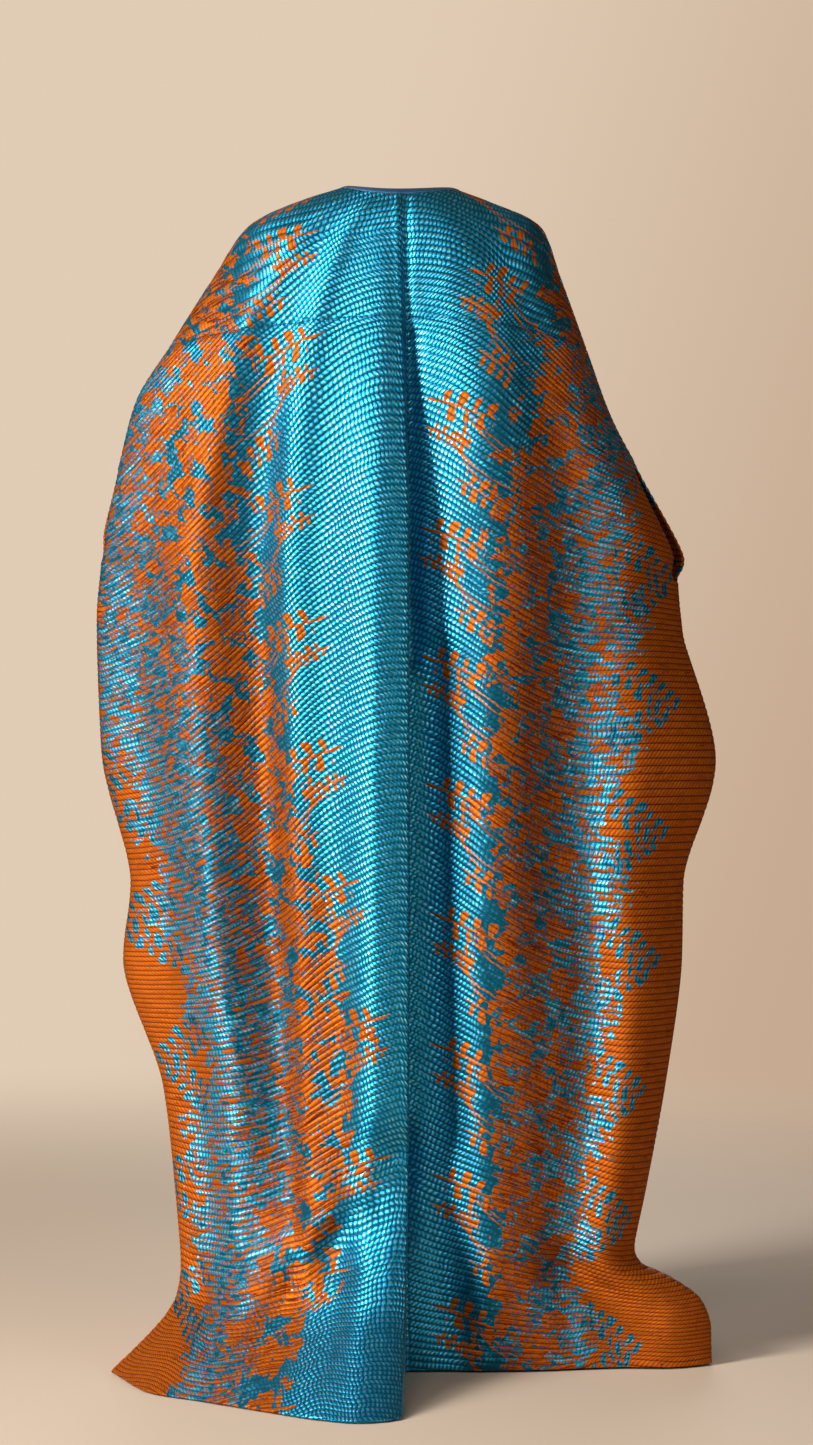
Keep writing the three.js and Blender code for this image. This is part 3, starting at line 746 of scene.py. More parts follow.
def combined(tree, x, y):
    node = tree.nodes.new("ShaderNodeCombineXYZ")
    for socket, value in zip(node.inputs, (x, y)):
        plug(tree, socket, value)
    return node.outputs[0]


def cell_numbers(tree, x, y):
    """Distance to the nearest cell's point, and a random number of that cell."""
    node = tree.nodes.new("ShaderNodeTexVoronoi")
    node.voronoi_dimensions = "2D"
    node.inputs["Scale"].default_value = 1.0
    plug(tree, node.inputs["Vector"], combined(tree, x, y))
    colour = tree.nodes.new("ShaderNodeSeparateColor")
    tree.links.new(node.outputs["Color"], colour.inputs[0])
    return Signal(node.outputs["Distance"]), Signal(colour.outputs[0])


def noise(tree, x, y, size, shift=(0.0, 0.0), detail=1.0):
    """Smooth noise of about 0 to 1 in patches of a size, moved by a shift counted in patches."""
    node = tree.nodes.new("ShaderNodeTexNoise")
    node.noise_dimensions = "2D"
    node.inputs["Scale"].default_value = 1.0
    node.inputs["Detail"].default_value = detail
    plug(tree, node.inputs["Vector"], combined(tree, x / size[0] + shift[0], y / size[1] + shift[1]))
    return Signal(node.outputs[0])


# Mix has a socket of each name for every data type, so the colour ones are found by their type.
def mixed_colours(tree, share, first, second):
    node = tree.nodes.new("ShaderNodeMix")
    node.data_type = "RGBA"
    colours = [socket for socket in node.inputs if socket.type == "RGBA"]
    plug(tree, node.inputs[0], share)
    plug(tree, colours[0], first)
    plug(tree, colours[1], second)
    return next(socket for socket in node.outputs if socket.type == "RGBA")


def layered(tree, colour, *layers):
    """A colour with other colours laid over it in turn, each by its share."""
    for share, over in layers:
        colour = mixed_colours(tree, share, colour, over)
    return colour


def union(masks):
    return functools.reduce(Signal.either, masks)


TWIG_COLUMNS = ("name", "out", "down", "angle", "length", "bend", "bare", "pitch", "leaf", "slim", "stem")
# Orange twigs: the tip's place out and down, the direction from the tip in degrees below level,
# then lengths in metres; bend is the sideways fall at the far end, and bare the leafless tip.
ORANGE_TWIGS = (
    ("upper twig", -0.002, 0.000, 13, 0.104, 0.008, 0.026, 0.0215, 0.0080, 0.0050, 0.0042),
    ("lower twig", 0.000, 0.038, 17, 0.074, 0.010, 0.010, 0.0125, 0.0044, 0.0027, 0.0036),
    ("side twig", 0.034, 0.066, -24, 0.036, -0.006, 0.006, 0.0120, 0.0046, 0.0030, 0.0018),
    ("back twig", 0.050, 0.108, 22, 0.072, 0.012, 0.012, 0.0170, 0.0068, 0.0042, 0.0024),
)
ARC_COLUMNS = ("name", "out", "down", "angle", "length", "bend", "stem")
ORANGE_ARCS = (
    ("long stem", 0.040, 0.052, 60, 0.112, -0.044, 0.0028),
    ("long stem's pair", 0.043, 0.055, 63, 0.104, -0.024, 0.0026),
    ("outer stem", 0.062, 0.026, 56, 0.110, -0.034, 0.0026),
    ("outer stem's pair", 0.066, 0.024, 52, 0.116, -0.040, 0.0024),
)
BLOSSOM_COLUMNS = ("name", "out", "down", "radius", "petals", "depth", "turn", "squash")
ORANGE_BLOSSOMS = (
    ("small star", 0.074, 0.024, 0.0080, 5, 0.55, 0.3, 1.0),
    ("upper bloom", 0.134, 0.008, 0.0220, 4, 0.40, 0.9, 1.15),
    ("upper bud", 0.108, 0.036, 0.0110, 3, 0.45, 2.2, 1.3),
    ("middle bloom", 0.158, 0.054, 0.0270, 5, 0.36, 0.2, 1.1),
    ("middle bud", 0.128, 0.080, 0.0110, 3, 0.45, 1.1, 1.5),
    ("lower star", 0.112, 0.106, 0.0140, 5, 0.50, 1.3, 1.1),
    ("lower bloom", 0.150, 0.126, 0.0230, 4, 0.38, 2.0, 1.3),
    ("lower bud", 0.108, 0.148, 0.0100, 3, 0.40, 0.4, 1.4),
    ("outer bloom", 0.202, 0.096, 0.0200, 4, 0.40, 0.7, 1.4),
    ("outer bud", 0.190, 0.020, 0.0160, 3, 0.40, 1.9, 1.4),
)
# Turquoise sprigs on the orange border; out is counted from the border's edge.
BLUE_TWIGS = (
    ("border sprig", -0.010, 0.020, 28, 0.100, 0.010, 0.000, 0.0175, 0.0085, 0.0046, 0.0016),
    ("border sprig's pair", -0.014, 0.112, -22, 0.074, -0.012, 0.000, 0.0160, 0.0074, 0.0042, 0.0016),
)


def row_of(columns, row):
    return dict(zip(columns, row))


def from_nearest(down, row, repeat):
    """How far down from the row's place, counted from the nearest of its repeats."""
    turns = (down - row["down"]) / repeat
    return (turns - (turns + 0.5).floor()) * repeat


def local_axes(out, down, row, repeat):
    """Coordinates along and across a line that starts at the row's place, once in every repeat."""
    near, away = from_nearest(down, row, repeat), out - row["out"]
    cos, sin = math.cos(math.radians(row["angle"])), math.sin(math.radians(row["angle"]))
    along = away * cos + near * sin
    bend = row["bend"] / row["length"] ** 2
    return along, near * cos - away * sin - along * along * bend


def stem_mask(along, aside, row):
    """Where a stem lies: a fine point that swells quickly and then thins out."""
    point = (along / row["length"] * 8).math("MINIMUM", 1.0)
    width = point * (1.0 - along * (0.45 / row["length"])) * (row["stem"] / 2)
    inside = along.over(0.0) * along.below(row["length"])
    return abs(aside).below(width) * inside, inside


def twig_mask(out, down, row, repeat):
    """Where a leafy twig lies: a stem with upright leaves in turn above and below it."""
    along, aside = local_axes(out, down, row, repeat)
    stem, inside = stem_mask(along, aside, row)
    turn = along / row["pitch"] + aside.over(0.0) * 0.45
    leaf_along = (turn.fract() - 0.5) * row["pitch"]
    size = 1.12 - (turn.floor() * 2.4).math("SINE") * 0.2
    away = abs(aside) - row["leaf"] * 1.25
    lean = leaf_along - away * 0.25
    length = away / row["leaf"]
    width = lean / row["slim"] * (1.15 - length * 0.45)
    leaf = (length * length + width * width).below(size * size)
    stalk = abs(leaf_along).below(row["stem"] * 0.22) * abs(aside).below(row["leaf"])
    return stem.either(leaf.either(stalk) * inside * along.over(row["bare"]))


def blossom_mask(out, down, row, repeat):
    """Where a blossom lies: a rounded star of petals with a small eye."""
    near = from_nearest(down, row, repeat)
    away = (out - row["out"]) / row["squash"]
    radius = (away * away + near * near).math("SQRT")
    angle = near.math("ARCTAN2", away)
    petal = abs((angle * (row["petals"] / 2) + row["turn"]).math("COSINE"))
    reach = (petal * row["depth"] + (1 - row["depth"])) * row["radius"]
    eye = radius.over(row["radius"] * 0.12)
    return radius.below(reach) * eye


# Sizes of the noise's patches: out from the middle, and down the cloth or along the ribs.
DRIFT_SIZE = (0.05, 0.03)
SWAY_SIZE = (0.016, 0.016)
PATCH_SIZE = (0.06, 0.045)
CHIP_SIZE = (0.029, 0.0135)
FLECK_SIZE = (0.021, 0.0042)
CLUMP_SIZE = (0.026, 0.020)
GAP_SIZE = (0.017, 0.0065)
STRAND_SIZE = (0.045, 0.0022)
PALE_SIZE = (0.05, 0.0034)
RING_PITCH = 0.0105
# How far the noise bends each kind of figure, in metres, and the patterned band, as a share.
TWIG_BEND = 0.006
SPRIG_BEND = 0.01
BLOOM_BEND = 0.034
BAND_BEND = 0.30
BORDER_BEND = 0.34
# Where the clumps of the garland and the mixed zone begin, and the width that sprigs count by.
CLUMPS_FROM = 0.055
MIXED_FROM = 0.45
SPRIG_BAND = 0.28


def woven_ribs(tree, at, settings):
    """The weave: upright dashes in brick order along the ribs, and the border's twisted ribs."""
    rib = at.ribs / settings.rib_pitch
    row = rib.floor()
    over_rib = rib - row - 0.5
    drift = (noise(tree, at.out, at.ribs, DRIFT_SIZE) - 0.5) * 2.0
    cell = at.out / settings.dash_pitch + row * 0.5 + over_rib * 0.75 + drift
    column = cell.floor()
    over_cell = cell - column - 0.5
    lattice = tree.nodes.new("ShaderNodeTexWhiteNoise")
    lattice.noise_dimensions = "2D"
    plug(tree, lattice.inputs["Vector"], combined(tree, column, row))
    chance = Signal(lattice.outputs["Value"])
    rib_square, cell_square = over_rib * over_rib, over_cell * over_cell
    size = chance * 0.9 + 0.5
    twist = (at.out / (settings.dash_pitch * 1.1) + over_rib * 1.25 + row * 0.37).fract() - 0.5
    return SimpleNamespace(
        chance=chance,
        dash=ramp(tree, (rib_square * rib_square * 36 + cell_square * cell_square * 44) / size, 1.3, 0.4),
        # A painted glint: the bright middle of each dash, which stays bright even where the cloth lies in
        # shade.
        painted_glint=ramp(tree, (rib_square * 9 + cell_square * 24) / size, 1.0, 0.2),
        dome=1.0 - rib_square * 4.6 - cell_square * 5.4,
        valley=ramp(tree, abs(over_rib), 0.32, 0.5),
        rope=1.0 - twist * twist * 3.2)


def pattern_place(tree):
    """Where a point lies in the pattern, which is bent a little so that no two sprays are alike."""
    out, ribs, down = parts_of(tree, carried(tree, "cloth").outputs["Vector"])
    band, garland = [Signal(carried(tree, name).outputs["Fac"]) for name in ("band", "garland")]
    sway = noise(tree, out, down, SWAY_SIZE, detail=2.0) - 0.5
    swing = noise(tree, out, down, SWAY_SIZE, (9.0, 5.0), 2.0) - 0.5
    soft_band = band + sway * BAND_BEND
    return SimpleNamespace(
        out=out, ribs=ribs, down=down, band=band, garland=garland, sway=sway, soft_band=soft_band,
        twig_out=out + sway * TWIG_BEND, twig_down=down + swing * TWIG_BEND,
        bloom_out=garland + sway * BLOOM_BEND, bloom_down=down + swing * BLOOM_BEND,
        in_mix=soft_band.over(MIXED_FROM),
        gaps=noise(tree, out, ribs, GAP_SIZE, (3.0, 0.0)),
        strands=noise(tree, out, ribs, STRAND_SIZE, (7.0, 0.0)))


def drawn_figures(at, repeat):
    """Where the orange twigs and stems, the blossoms, and the border's turquoise sprigs lie."""
    twigs = [twig_mask(at.twig_out, at.twig_down, row_of(TWIG_COLUMNS, values), repeat)
             for values in ORANGE_TWIGS]
    for values in ORANGE_ARCS:
        arc = row_of(ARC_COLUMNS, values)
        along, aside = local_axes(at.twig_out, at.twig_down, arc, repeat)
        twigs.append(stem_mask(along, aside, arc)[0])
    blooms = [blossom_mask(at.bloom_out, at.bloom_down, row_of(BLOSSOM_COLUMNS, values), repeat)
              for values in ORANGE_BLOSSOMS]
    from_border = (at.band - 1.0) * SPRIG_BAND + at.sway * SPRIG_BEND
    sprigs = [twig_mask(from_border, at.twig_down, row_of(TWIG_COLUMNS, values), repeat)
              for values in BLUE_TWIGS]
    return union(twigs), union(blooms), union(sprigs)


def scattered_figures(tree, at, repeat):
    """Where the garland's clumps lie, the chips, flecks and rings among the ribs, plain dark
    patches, the ragged border, and the dark outlines of clumps and chips."""
    patchy = (noise(tree, at.out, at.down, PATCH_SIZE, (2.0, 0.0)) - 0.5) * 0.22
    shapes = noise(tree, at.out, at.ribs, CHIP_SIZE, detail=3.0)
    chip_level = (ramp(tree, at.soft_band, 0.40, 0.60, 0.65, 0.56)
                  + ramp(tree, at.soft_band, 0.5, 0.85, 0.0, 0.07) + patchy)
    fine = noise(tree, at.out, at.ribs, FLECK_SIZE)
    flecks = fine.over(ramp(tree, at.soft_band, 0.40, 0.7, 0.66, 0.61) - patchy * 0.3)
    in_garland = at.garland.over(CLUMPS_FROM)
    clump = noise(tree, at.bloom_out, at.bloom_down, CLUMP_SIZE, detail=2.5)
    clump_level = (ramp(tree, at.garland, CLUMPS_FROM, 0.115, 0.66, 0.525)
                   + ramp(tree, at.out, 0.07, 0.115, 0.2, 0.0)
                   + patchy + ramp(tree, at.soft_band, 0.46, 0.7, 0.0, 0.16))
    ring_near, ring_pick = cell_numbers(tree, at.out / RING_PITCH, at.ribs / RING_PITCH)
    rings = abs(ring_near - 0.30).below(0.075) * ring_pick.below(0.42)
    plain = at.gaps.over(0.57) * at.soft_band.over(0.26) * at.soft_band.below(0.80)
    waves = (at.ribs * (math.tau / repeat)).math("SINE") * 0.06
    edge = at.band + at.sway * BORDER_BEND + waves + (fine - 0.5) * 0.12
    return SimpleNamespace(
        clumps=in_garland * clump.over(clump_level),
        chips=shapes.over(chip_level).either(flecks).either(rings) * at.in_mix * (1.0 - plain),
        plain=plain,
        border=edge.over(1.0),
        outlines=(abs(clump - clump_level + 0.014).below(0.016) * in_garland * at.out.over(0.06))
        .either(abs(shapes - chip_level + 0.018).below(0.018) * at.in_mix))


def brocade_material(settings):
    """Ribbed metallic brocade: turquoise dashes, orange sprays and blossoms, mixed streaks, an
    orange border with turquoise sprigs."""
    existing = bpy.data.materials.get("ribbed_brocade")
    if existing:
        return existing
    material = bpy.data.materials.new("ribbed_brocade")
    material.use_nodes = True
    tree = material.node_tree
    shader = tree.nodes["Principled BSDF"]
    repeat = settings.rib_pitch * REPEAT_RIBS
    at = pattern_place(tree)
    weave = woven_ribs(tree, at, settings)
    twigs, blossoms, sprigs = drawn_figures(at, repeat)
    strewn = scattered_figures(tree, at, repeat)
    blooms = blossoms.either(strewn.clumps)
    orange = twigs.either(blooms).either(strewn.chips).either(strewn.border) * (1.0 - sprigs)
    not_orange, not_border = 1.0 - orange, 1.0 - strewn.border

    veins = abs(at.gaps - 0.5).below(0.014).either(at.strands.over(0.635))
    pale_streaks = ramp(tree, noise(tree, at.out, at.ribs, PALE_SIZE), 0.50, 0.64) * at.in_mix * not_orange
    # Painted shade: the mixed zone's rib valleys darkened towards the ground colour, together with the
    # pattern's dark strands.
    shaded_furrows_and_strands = weave.valley.either(at.strands.below(0.40)) * at.in_mix
    plain_share = 0.9 - ramp(tree, at.soft_band, 0.62, 0.88) * 0.75
    near_sprays = ramp(tree, at.band, 0.10, 0.24) * ramp(tree, at.gaps, 0.30, 0.46, 0.45, 1.0) * plain_share

    ground, turquoise, pale, flat_blue, copper, copper_shadow = [opaque(colour) for colour in (
        settings.ground_colour, settings.turquoise, settings.pale_yarn_and_glint_colour, settings.flat_blue,
        settings.orange, settings.orange_shadow)]
    blue = layered(tree, ground, (weave.dash, turquoise),
                   # Painted glints: the dashes' bright middles, laid on in the pale colour.
                   (weave.painted_glint * (0.35 + weave.chance * 0.65), pale),
                   (near_sprays, flat_blue),
                   (pale_streaks * (0.3 + weave.dash * 0.7) * 0.5, pale),
                   # Painted shade in the mixed zone's rib valleys, with the dark strands.
                   (shaded_furrows_and_strands * 0.8, ground),
                   (strewn.plain * 0.8, flat_blue),
                   (sprigs * (1.0 - weave.dash * 0.5) * 0.85, flat_blue))
    # Painted shade in the orange: darker in the rib valleys and between the rope's twists. The chips and the
    # blossoms' veins take the same darker colour as pattern.
    shadow = (weave.valley * 0.8 + (1.0 - weave.rope) * (0.25 + strewn.border * 0.5))
    shadow = shadow.either(strewn.chips * 0.35).either(veins * blooms * 0.9)
    colour = layered(tree, blue, (orange, mixed_colours(tree, shadow, copper, copper_shadow)),
                     (strewn.outlines * not_border * 0.75, flat_blue))
    plug(tree, shader.inputs["Base Color"], colour)
    plug(tree, shader.inputs["Metallic"], 0.9 - orange * 0.35 - near_sprays * not_orange * 0.45)
    plug(tree, shader.inputs["Roughness"], 0.33 + orange * 0.2 + at.in_mix * 0.1)
    shader.inputs["Specular IOR Level"].default_value = 0.12
    height = (weave.dome * (1.0 - strewn.border * 0.8) * (1.0 - near_sprays * 0.5)
              + weave.rope * strewn.border * 1.8 - weave.valley * 0.6)
    bump_up(tree, shader, height, 0.6, 0.0005)
    return material


def binding_material(settings):
    """Dark blue satin twill, with a row of stitches along each edge."""
    material = bpy.data.materials.new("binding_satin")
    material.use_nodes = True
    tree = material.node_tree
    shader = tree.nodes["Principled BSDF"]
    around, below, _ = parts_of(tree, carried(tree, "cloth").outputs["Vector"])
    twill = ramp(tree, abs(((around + below) / 0.0011).fract() - 0.5), 0.1, 0.45)
    stitch = abs(below - settings.binding_width * 0.84).below(0.0005) * (around / 0.0034).fract().below(0.72)
    colour = layered(tree, opaque(settings.binding_colour),
                     (twill * 0.6, opaque(settings.binding_colour, 0.55)),
                     (stitch * 0.8, opaque(settings.ground_colour)))
    plug(tree, shader.inputs["Base Color"], colour)
    shader.inputs["Metallic"].default_value = 0.3
    plug(tree, shader.inputs["Roughness"], 0.42 + twill * 0.1)
    shader.inputs["Sheen Weight"].default_value = 0.1
    bump_up(tree, shader, twill * 0.4 + stitch, 0.5, 0.0004)
    return material


def stage_material(name, colour, solid_radius, clear_radius):
    """Matt paint that thins out from one radius to the other, so that the floor has no edge."""
    material = bpy.data.materials.new(name)
    material.use_nodes = True
    tree = material.node_tree
    shader, output = tree.nodes["Principled BSDF"], tree.nodes["Material Output"]
    shader.inputs["Base Color"].default_value = opaque(colour)
    shader.inputs["Roughness"].default_value = 0.7
    shader.inputs["Specular IOR Level"].default_value = 0.125
    x, y, _ = parts_of(tree, tree.nodes.new("ShaderNodeTexCoord").outputs["Object"])
    radius = (x * x + y * y).math("SQRT")
    blend = tree.nodes.new("ShaderNodeMixShader")
    plug(tree, blend.inputs[0], ramp(tree, radius, solid_radius, clear_radius))
    tree.links.new(shader.outputs[0], blend.inputs[1])
    tree.links.new(tree.nodes.new("ShaderNodeBsdfTransparent").outputs[0], blend.inputs[2])
    tree.links.new(blend.outputs[0], output.inputs["Surface"])
    return material


# ---------------------------------------------------------------- settings
class KaftanClothSettings(bpy.types.PropertyGroup):
    """Sizes and colours of the kaftan's cloth."""

    cloth_thickness: FloatProperty(name="Cloth thickness", default=0.0018, min=0.0005, max=0.003,
                                   unit="LENGTH", description="Thickness of the brocade")
    rib_pitch: FloatProperty(name="Rib pitch", default=RIB_PITCH, min=0.004, max=0.02, unit="LENGTH",
                             description="Distance from one weft rib to the next")
    rib_height: FloatProperty(name="Rib height", default=0.0009, min=0, max=0.003, unit="LENGTH",
                              description="How far a weft rib stands out of the cloth")
    dash_pitch: FloatProperty(name="Dash pitch", default=0.0056, min=0.002, max=0.02, unit="LENGTH",
                              description="Distance between the bright dashes along a rib")
    binding_width: FloatProperty(name="Binding width", default=0.009, min=0.004, max=0.02,
                                 unit="LENGTH", description="Width of the neck binding")
    turquoise: FloatVectorProperty(name="Turquoise", subtype="COLOR", size=3, min=0, max=1,
                                   default=(0.025, 0.32, 0.54), description="Colour of the dashes")
    ground_colour: FloatVectorProperty(name="Ground", subtype="COLOR", size=3, min=0, max=1,
                                       default=(0.006, 0.17, 0.30), description="Colour between the dashes")
    flat_blue: FloatVectorProperty(name="Flat blue", subtype="COLOR", size=3, min=0, max=1,
                                   default=(0.002, 0.075, 0.125),
                                   description="Colour of the plain cloth round the sprays")
    orange: FloatVectorProperty(name="Orange", subtype="COLOR", size=3, min=0, max=1,
                                default=(0.45, 0.103, 0.005), description="Colour of sprays and border")
    orange_shadow: FloatVectorProperty(name="Orange shadow", subtype="COLOR", size=3, min=0, max=1,
                                       default=(0.10, 0.010, 0.001), description="Colour between orange ribs")
    # The pale colour paints the glints on the dashes' middles as well as the pale streaks of yarn.
    pale_yarn_and_glint_colour: FloatVectorProperty(name="Pale yarn and painted glints", subtype="COLOR", size=3, min=0, max=1,
                                     default=(0.24, 0.62, 0.74),
                                     description="Colour of the dashes' bright middles and pale streaks")
    binding_colour: FloatVectorProperty(name="Binding", subtype="COLOR", size=3, min=0, max=1,
                                        default=(0.008, 0.05, 0.12), description="Colour of the binding")


class KaftanStageSettings(bpy.types.PropertyGroup):
    """The studio: floor, lights and camera."""

    floor_radius: FloatProperty(name="Floor radius", default=9.0, min=1, unit="LENGTH",
                                description="How far the floor reaches")
    floor_colour: FloatVectorProperty(name="Floor", subtype="COLOR", size=3, min=0, max=1,
                                      default=(0.57, 0.46, 0.36), description="Colour of the floor")
    wall_colour: FloatVectorProperty(name="Surroundings", subtype="COLOR", size=3, min=0, max=1,
                                     default=(0.75, 0.60, 0.46), description="Colour on the lit side")
    wall_shade: FloatVectorProperty(name="Shaded surroundings", subtype="COLOR", size=3, min=0, max=1,
                                    default=(0.56, 0.40, 0.28), description="Colour on the shaded side")
    room_light: FloatProperty(name="Room light", default=0.16, min=0, max=1, subtype="FACTOR",
                              description="How much the surroundings light the kaftan")
    camera_distance: FloatProperty(name="Camera distance", default=4.65, min=1, unit="LENGTH",
                                   description="How far the camera stands from the kaftan's middle")
    lens: FloatProperty(name="Lens", default=85.58, min=10, subtype="DISTANCE_CAMERA",
                        description="Focal length on a 36 mm long side")
    key_power: FloatProperty(name="Key light", default=355, min=0, subtype="POWER",
                             description="Power of the main light")


# ---------------------------------------------------------------- operators
# Each panel's cut laid flat: width and length in metres, then its area in square metres.
BACK_CUTS = {"yoke": ((0.64, 0.24), 0.113), "left": ((0.84, 1.56), 0.757),
             "right": ((0.48, 1.39), 0.559)}
FRONT_CUTS = {"left": ((0.65, 1.63), 0.724), "right": ((0.62, 1.62), 0.712)}


def declare_panel(piece, node, flat, area, rests_on):
    """Puts a panel of cloth in the frame in place of its plain solid."""
    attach(piece, "root")
    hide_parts(node)


class KAFTAN_OT_back(bpy.types.Operator):
    """Build the back yoke and the two lower back panels"""

    bl_idname = "kaftan.back"
    bl_label = "Back Panels"

    def execute(self, context):
        settings = context.scene.kaftan_cloth
        yoke = cloth_panel("brocade_back_yoke", True,
                           np.concatenate([spread_across(-1, BACK_SEAM, YOKE_COLUMNS // 2),
                                           spread_across(BACK_SEAM, 1, YOKE_COLUMNS // 2)[1:]]),
                           0, YOKE_SEAM_LEVEL, settings)
        declare_panel(yoke, "back_yoke", *BACK_CUTS["yoke"], ["neck_binding"])
        left = cloth_panel("brocade_back_left", True, spread_across(BACK_SEAM, 1, BACK_COLUMNS),
                           YOKE_SEAM_LEVEL, HEM_LEVEL, settings)
        declare_panel(left, "back_left", *BACK_CUTS["left"], ["back_yoke"])
        right = cloth_panel("brocade_back_right", True, spread_across(-1, BACK_SEAM, BACK_COLUMNS),
                            YOKE_SEAM_LEVEL, HEM_LEVEL, settings)
        declare_panel(right, "back_right", *BACK_CUTS["right"], ["back_yoke"])
        return {"FINISHED"}


class KAFTAN_OT_front(bpy.types.Operator):
    """Build the two front panels"""

    bl_idname = "kaftan.front"
    bl_label = "Front Panels"

    def execute(self, context):
        settings = context.scene.kaftan_cloth
        for side, start, end in (("left", 0, 1), ("right", -1, 0)):
            panel = cloth_panel(f"brocade_front_{side}", False, spread_across(start, end, FRONT_COLUMNS),
                                0, HEM_LEVEL, settings)
            declare_panel(panel, f"front_{side}", *FRONT_CUTS[side], ["neck_binding"])
        return {"FINISHED"}


class KAFTAN_OT_binding(bpy.types.Operator):
    """Build the binding round the neck"""

    bl_idname = "kaftan.binding"
    bl_label = "Neck Binding"

    def execute(self, context):
        settings = context.scene.kaftan_cloth
        levels = np.linspace(0, 1, NECK_STEPS + 1)
        rings = []
        for is_back, start, end in ((True, 1, -1), (False, -1, 1)):
            acrosses = np.linspace(start, end, NECK_COLUMNS + 1)
            points = cloth_points(is_back, acrosses, levels)
            rings.append((points[:, :-1], grid_normals(points, is_back)[:, :-1]))
        points, normals = [np.concatenate(parts, axis=1) for parts in zip(*rings)]
        for _ in range(2):
            normals = (np.roll(normals, 1, axis=1) + normals * 2 + np.roll(normals, -1, axis=1)) / 4
        normals = unit(normals)
        below = lengths_down(points)
        around = lengths_down(points[0][:, None])[:, 0]
        numbers, upwards = np.arange(len(levels)), unit(points[0] - points[3])
        scale = settings.binding_width / BINDING_SECTION_WIDTH * MM
        section = [(length * scale, height * MM) for length, height in BINDING_SECTION]
        rows = []
        for length, height in section:
            places = [np.interp(max(0.0, length), lengths, numbers) for lengths in below.T]
            at = np.array([[np.interp(place, numbers, points[:, c, axis]) for axis in range(3)]
                           for c, place in enumerate(places)])
            outwards = np.array([normals[int(place), c] for c, place in enumerate(places)])
            rows.append(at + outwards * height + upwards * max(0.0, -length))
        ring = np.stack(rows + rows[:1], axis=0)
        ring = np.concatenate([ring, ring[:, :1]], axis=1)
        around = np.concatenate([around, [around[-1] + BINDING_JOIN]])
        bm = bmesh.new()
        cloth = bm.verts.layers.float_vector.new("cloth")
        grid = placed_grid(bm, ring)
        lengths = [length for length, _ in section] + [section[0][0]]
        for r, row in enumerate(grid):
            for c, vert in enumerate(row):
                vert[cloth] = (around[c], lengths[r], 0)
        bmesh.ops.remove_doubles(bm, verts=bm.verts, dist=MERGE_DISTANCE)
        bmesh.ops.recalc_face_normals(bm, faces=bm.faces)
        piece = finished_piece("bound_neck_edge", bm, binding_material(settings))
        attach(piece, "root")
        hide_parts("neck_binding")
        return {"FINISHED"}


# The floor's gap below the hem and the shares of its radius where it fades; the camera's place
# across and up, and the millimetres of its sensor; and the tint of the lights.
FLOOR_GAP = 0.0008
FLOOR_FADE = (0.12, 0.45)
CAMERA_X = -0.0088
CAMERA_Z = -0.7236
SENSOR_WIDTH = 36
LIGHT_COLOUR = (1.0, 0.97, 0.93)
LIGHT_COLUMNS = ("name", "x", "y", "z", "aim_z", "width", "height", "share")
# Soft boxes: place, the height on the kaftan that each one faces, size, and share of the key's power.
LIGHTS = (
    ("key", 3.3, 2.9, 0.5, -0.7, 1.0, 2.6, 1.0),
    ("top", 2.4, 1.6, 2.9, -1.0, 1.2, 1.2, 0.16),
    ("front", 0.9, 4.4, 1.7, -0.6, 1.0, 1.4, 0.08),
    ("fill", -3.4, 2.8, 0.2, -0.8, 1.6, 2.4, 0.10),
    ("far", -0.4, -4.6, 0.0, -0.7, 1.8, 2.4, 0.14),
)


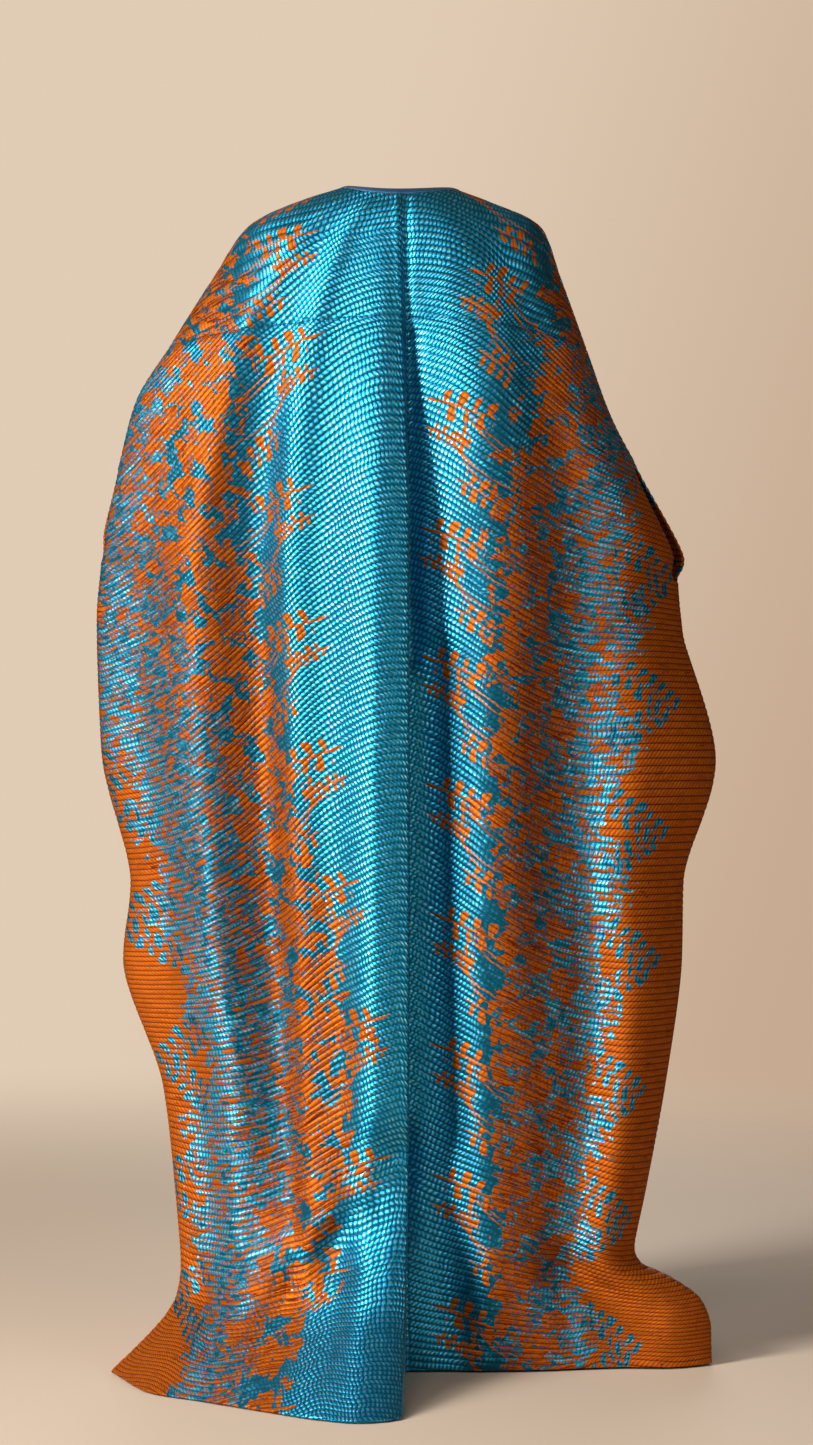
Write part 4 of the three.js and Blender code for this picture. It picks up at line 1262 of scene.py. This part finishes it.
class KAFTAN_OT_stage(bpy.types.Operator):
    """Build the floor, the lights and the camera"""

    bl_idname = "kaftan.stage"
    bl_label = "Studio"

    def execute(self, context):
        settings = context.scene.kaftan_stage
        scene = context.scene
        scene.view_settings.view_transform = "Standard"
        floor_z = CAD_BOX[0][2] - FLOOR_GAP
        bm = bmesh.new()
        bmesh.ops.create_circle(bm, cap_ends=True, segments=96, radius=settings.floor_radius)
        for vert in bm.verts:
            vert.co.z = floor_z
        floor = finished_piece("floor", bm, stage_material(
            "floor_paint", settings.floor_colour, *[settings.floor_radius * share for share in FLOOR_FADE]))
        self.add_lights(scene, settings)
        self.add_surroundings(scene, settings)
        camera = bpy.data.objects.new("camera", bpy.data.cameras.new("camera"))
        camera.data.lens = settings.lens
        camera.data.sensor_width = SENSOR_WIDTH
        camera.location = (CAMERA_X, settings.camera_distance, CAMERA_Z)
        camera.rotation_euler = (math.pi / 2, 0, math.pi)
        scene.collection.objects.link(camera)
        scene.camera = camera
        return {"FINISHED"}

    def add_lights(self, scene, settings):
        for values in LIGHTS:
            row = row_of(LIGHT_COLUMNS, values)
            data = bpy.data.lights.new(row["name"] + "_light", "AREA")
            data.shape = "RECTANGLE"
            data.size, data.size_y = row["width"], row["height"]
            data.energy = settings.key_power * row["share"]
            data.color = LIGHT_COLOUR
            light = bpy.data.objects.new(row["name"] + "_light", data)
            light.location = (row["x"], row["y"], row["z"])
            aim = Vector((0, 0, row["aim_z"])) - light.location
            light.rotation_euler = aim.to_track_quat("-Z", "Y").to_euler()
            scene.collection.objects.link(light)

    def add_surroundings(self, scene, settings):
        """Surroundings that look pale, painted lighter on the lit side and darker on the shaded side, and
        light the cloth only a little.
        """
        world = bpy.data.worlds.new("surroundings")
        world.use_nodes = True
        tree = world.node_tree
        background = tree.nodes["Background"]
        x, _, z = parts_of(tree, tree.nodes.new("ShaderNodeTexCoord").outputs["Generated"])
        plug(tree, background.inputs["Color"], mixed_colours(
            tree, ramp(tree, x + z * 0.3, -0.16, 0.08), opaque(settings.wall_shade),
            opaque(settings.wall_colour)))
        seen = Signal(tree.nodes.new("ShaderNodeLightPath").outputs["Is Camera Ray"])
        plug(tree, background.inputs["Strength"], seen * (1.0 - settings.room_light) + settings.room_light)
        scene.world = world


class KAFTAN_PT_sidebar(bpy.types.Panel):
    """Lists the kaftan's settings and the steps that build it"""

    bl_idname = "KAFTAN_PT_sidebar"
    bl_label = "Kaftan"
    bl_space_type = "VIEW_3D"
    bl_region_type = "UI"
    bl_category = "Kaftan"

    def draw(self, context):
        layout = self.layout
        for group in (context.scene.kaftan_cloth, context.scene.kaftan_stage):
            box = layout.box()
            for name in group.__annotations__:
                box.prop(group, name)
        for operator in (KAFTAN_OT_back, KAFTAN_OT_front, KAFTAN_OT_binding, KAFTAN_OT_stage):
            layout.operator(operator.bl_idname)


CLASSES = (KaftanClothSettings, KaftanStageSettings, KAFTAN_OT_back, KAFTAN_OT_front,
           KAFTAN_OT_binding, KAFTAN_OT_stage, KAFTAN_PT_sidebar)


def register():
    for cls in CLASSES:
        bpy.utils.register_class(cls)
    bpy.types.Scene.kaftan_cloth = PointerProperty(type=KaftanClothSettings)
    bpy.types.Scene.kaftan_stage = PointerProperty(type=KaftanStageSettings)


def unregister():
    del bpy.types.Scene.kaftan_stage
    del bpy.types.Scene.kaftan_cloth
    for cls in reversed(CLASSES):
        bpy.utils.unregister_class(cls)


def main():
    register()
    bpy.ops.kaftan.stage()
    bpy.ops.kaftan.back()
    bpy.ops.kaftan.front()
    bpy.ops.kaftan.binding()


if __name__ == "__main__":
    main()
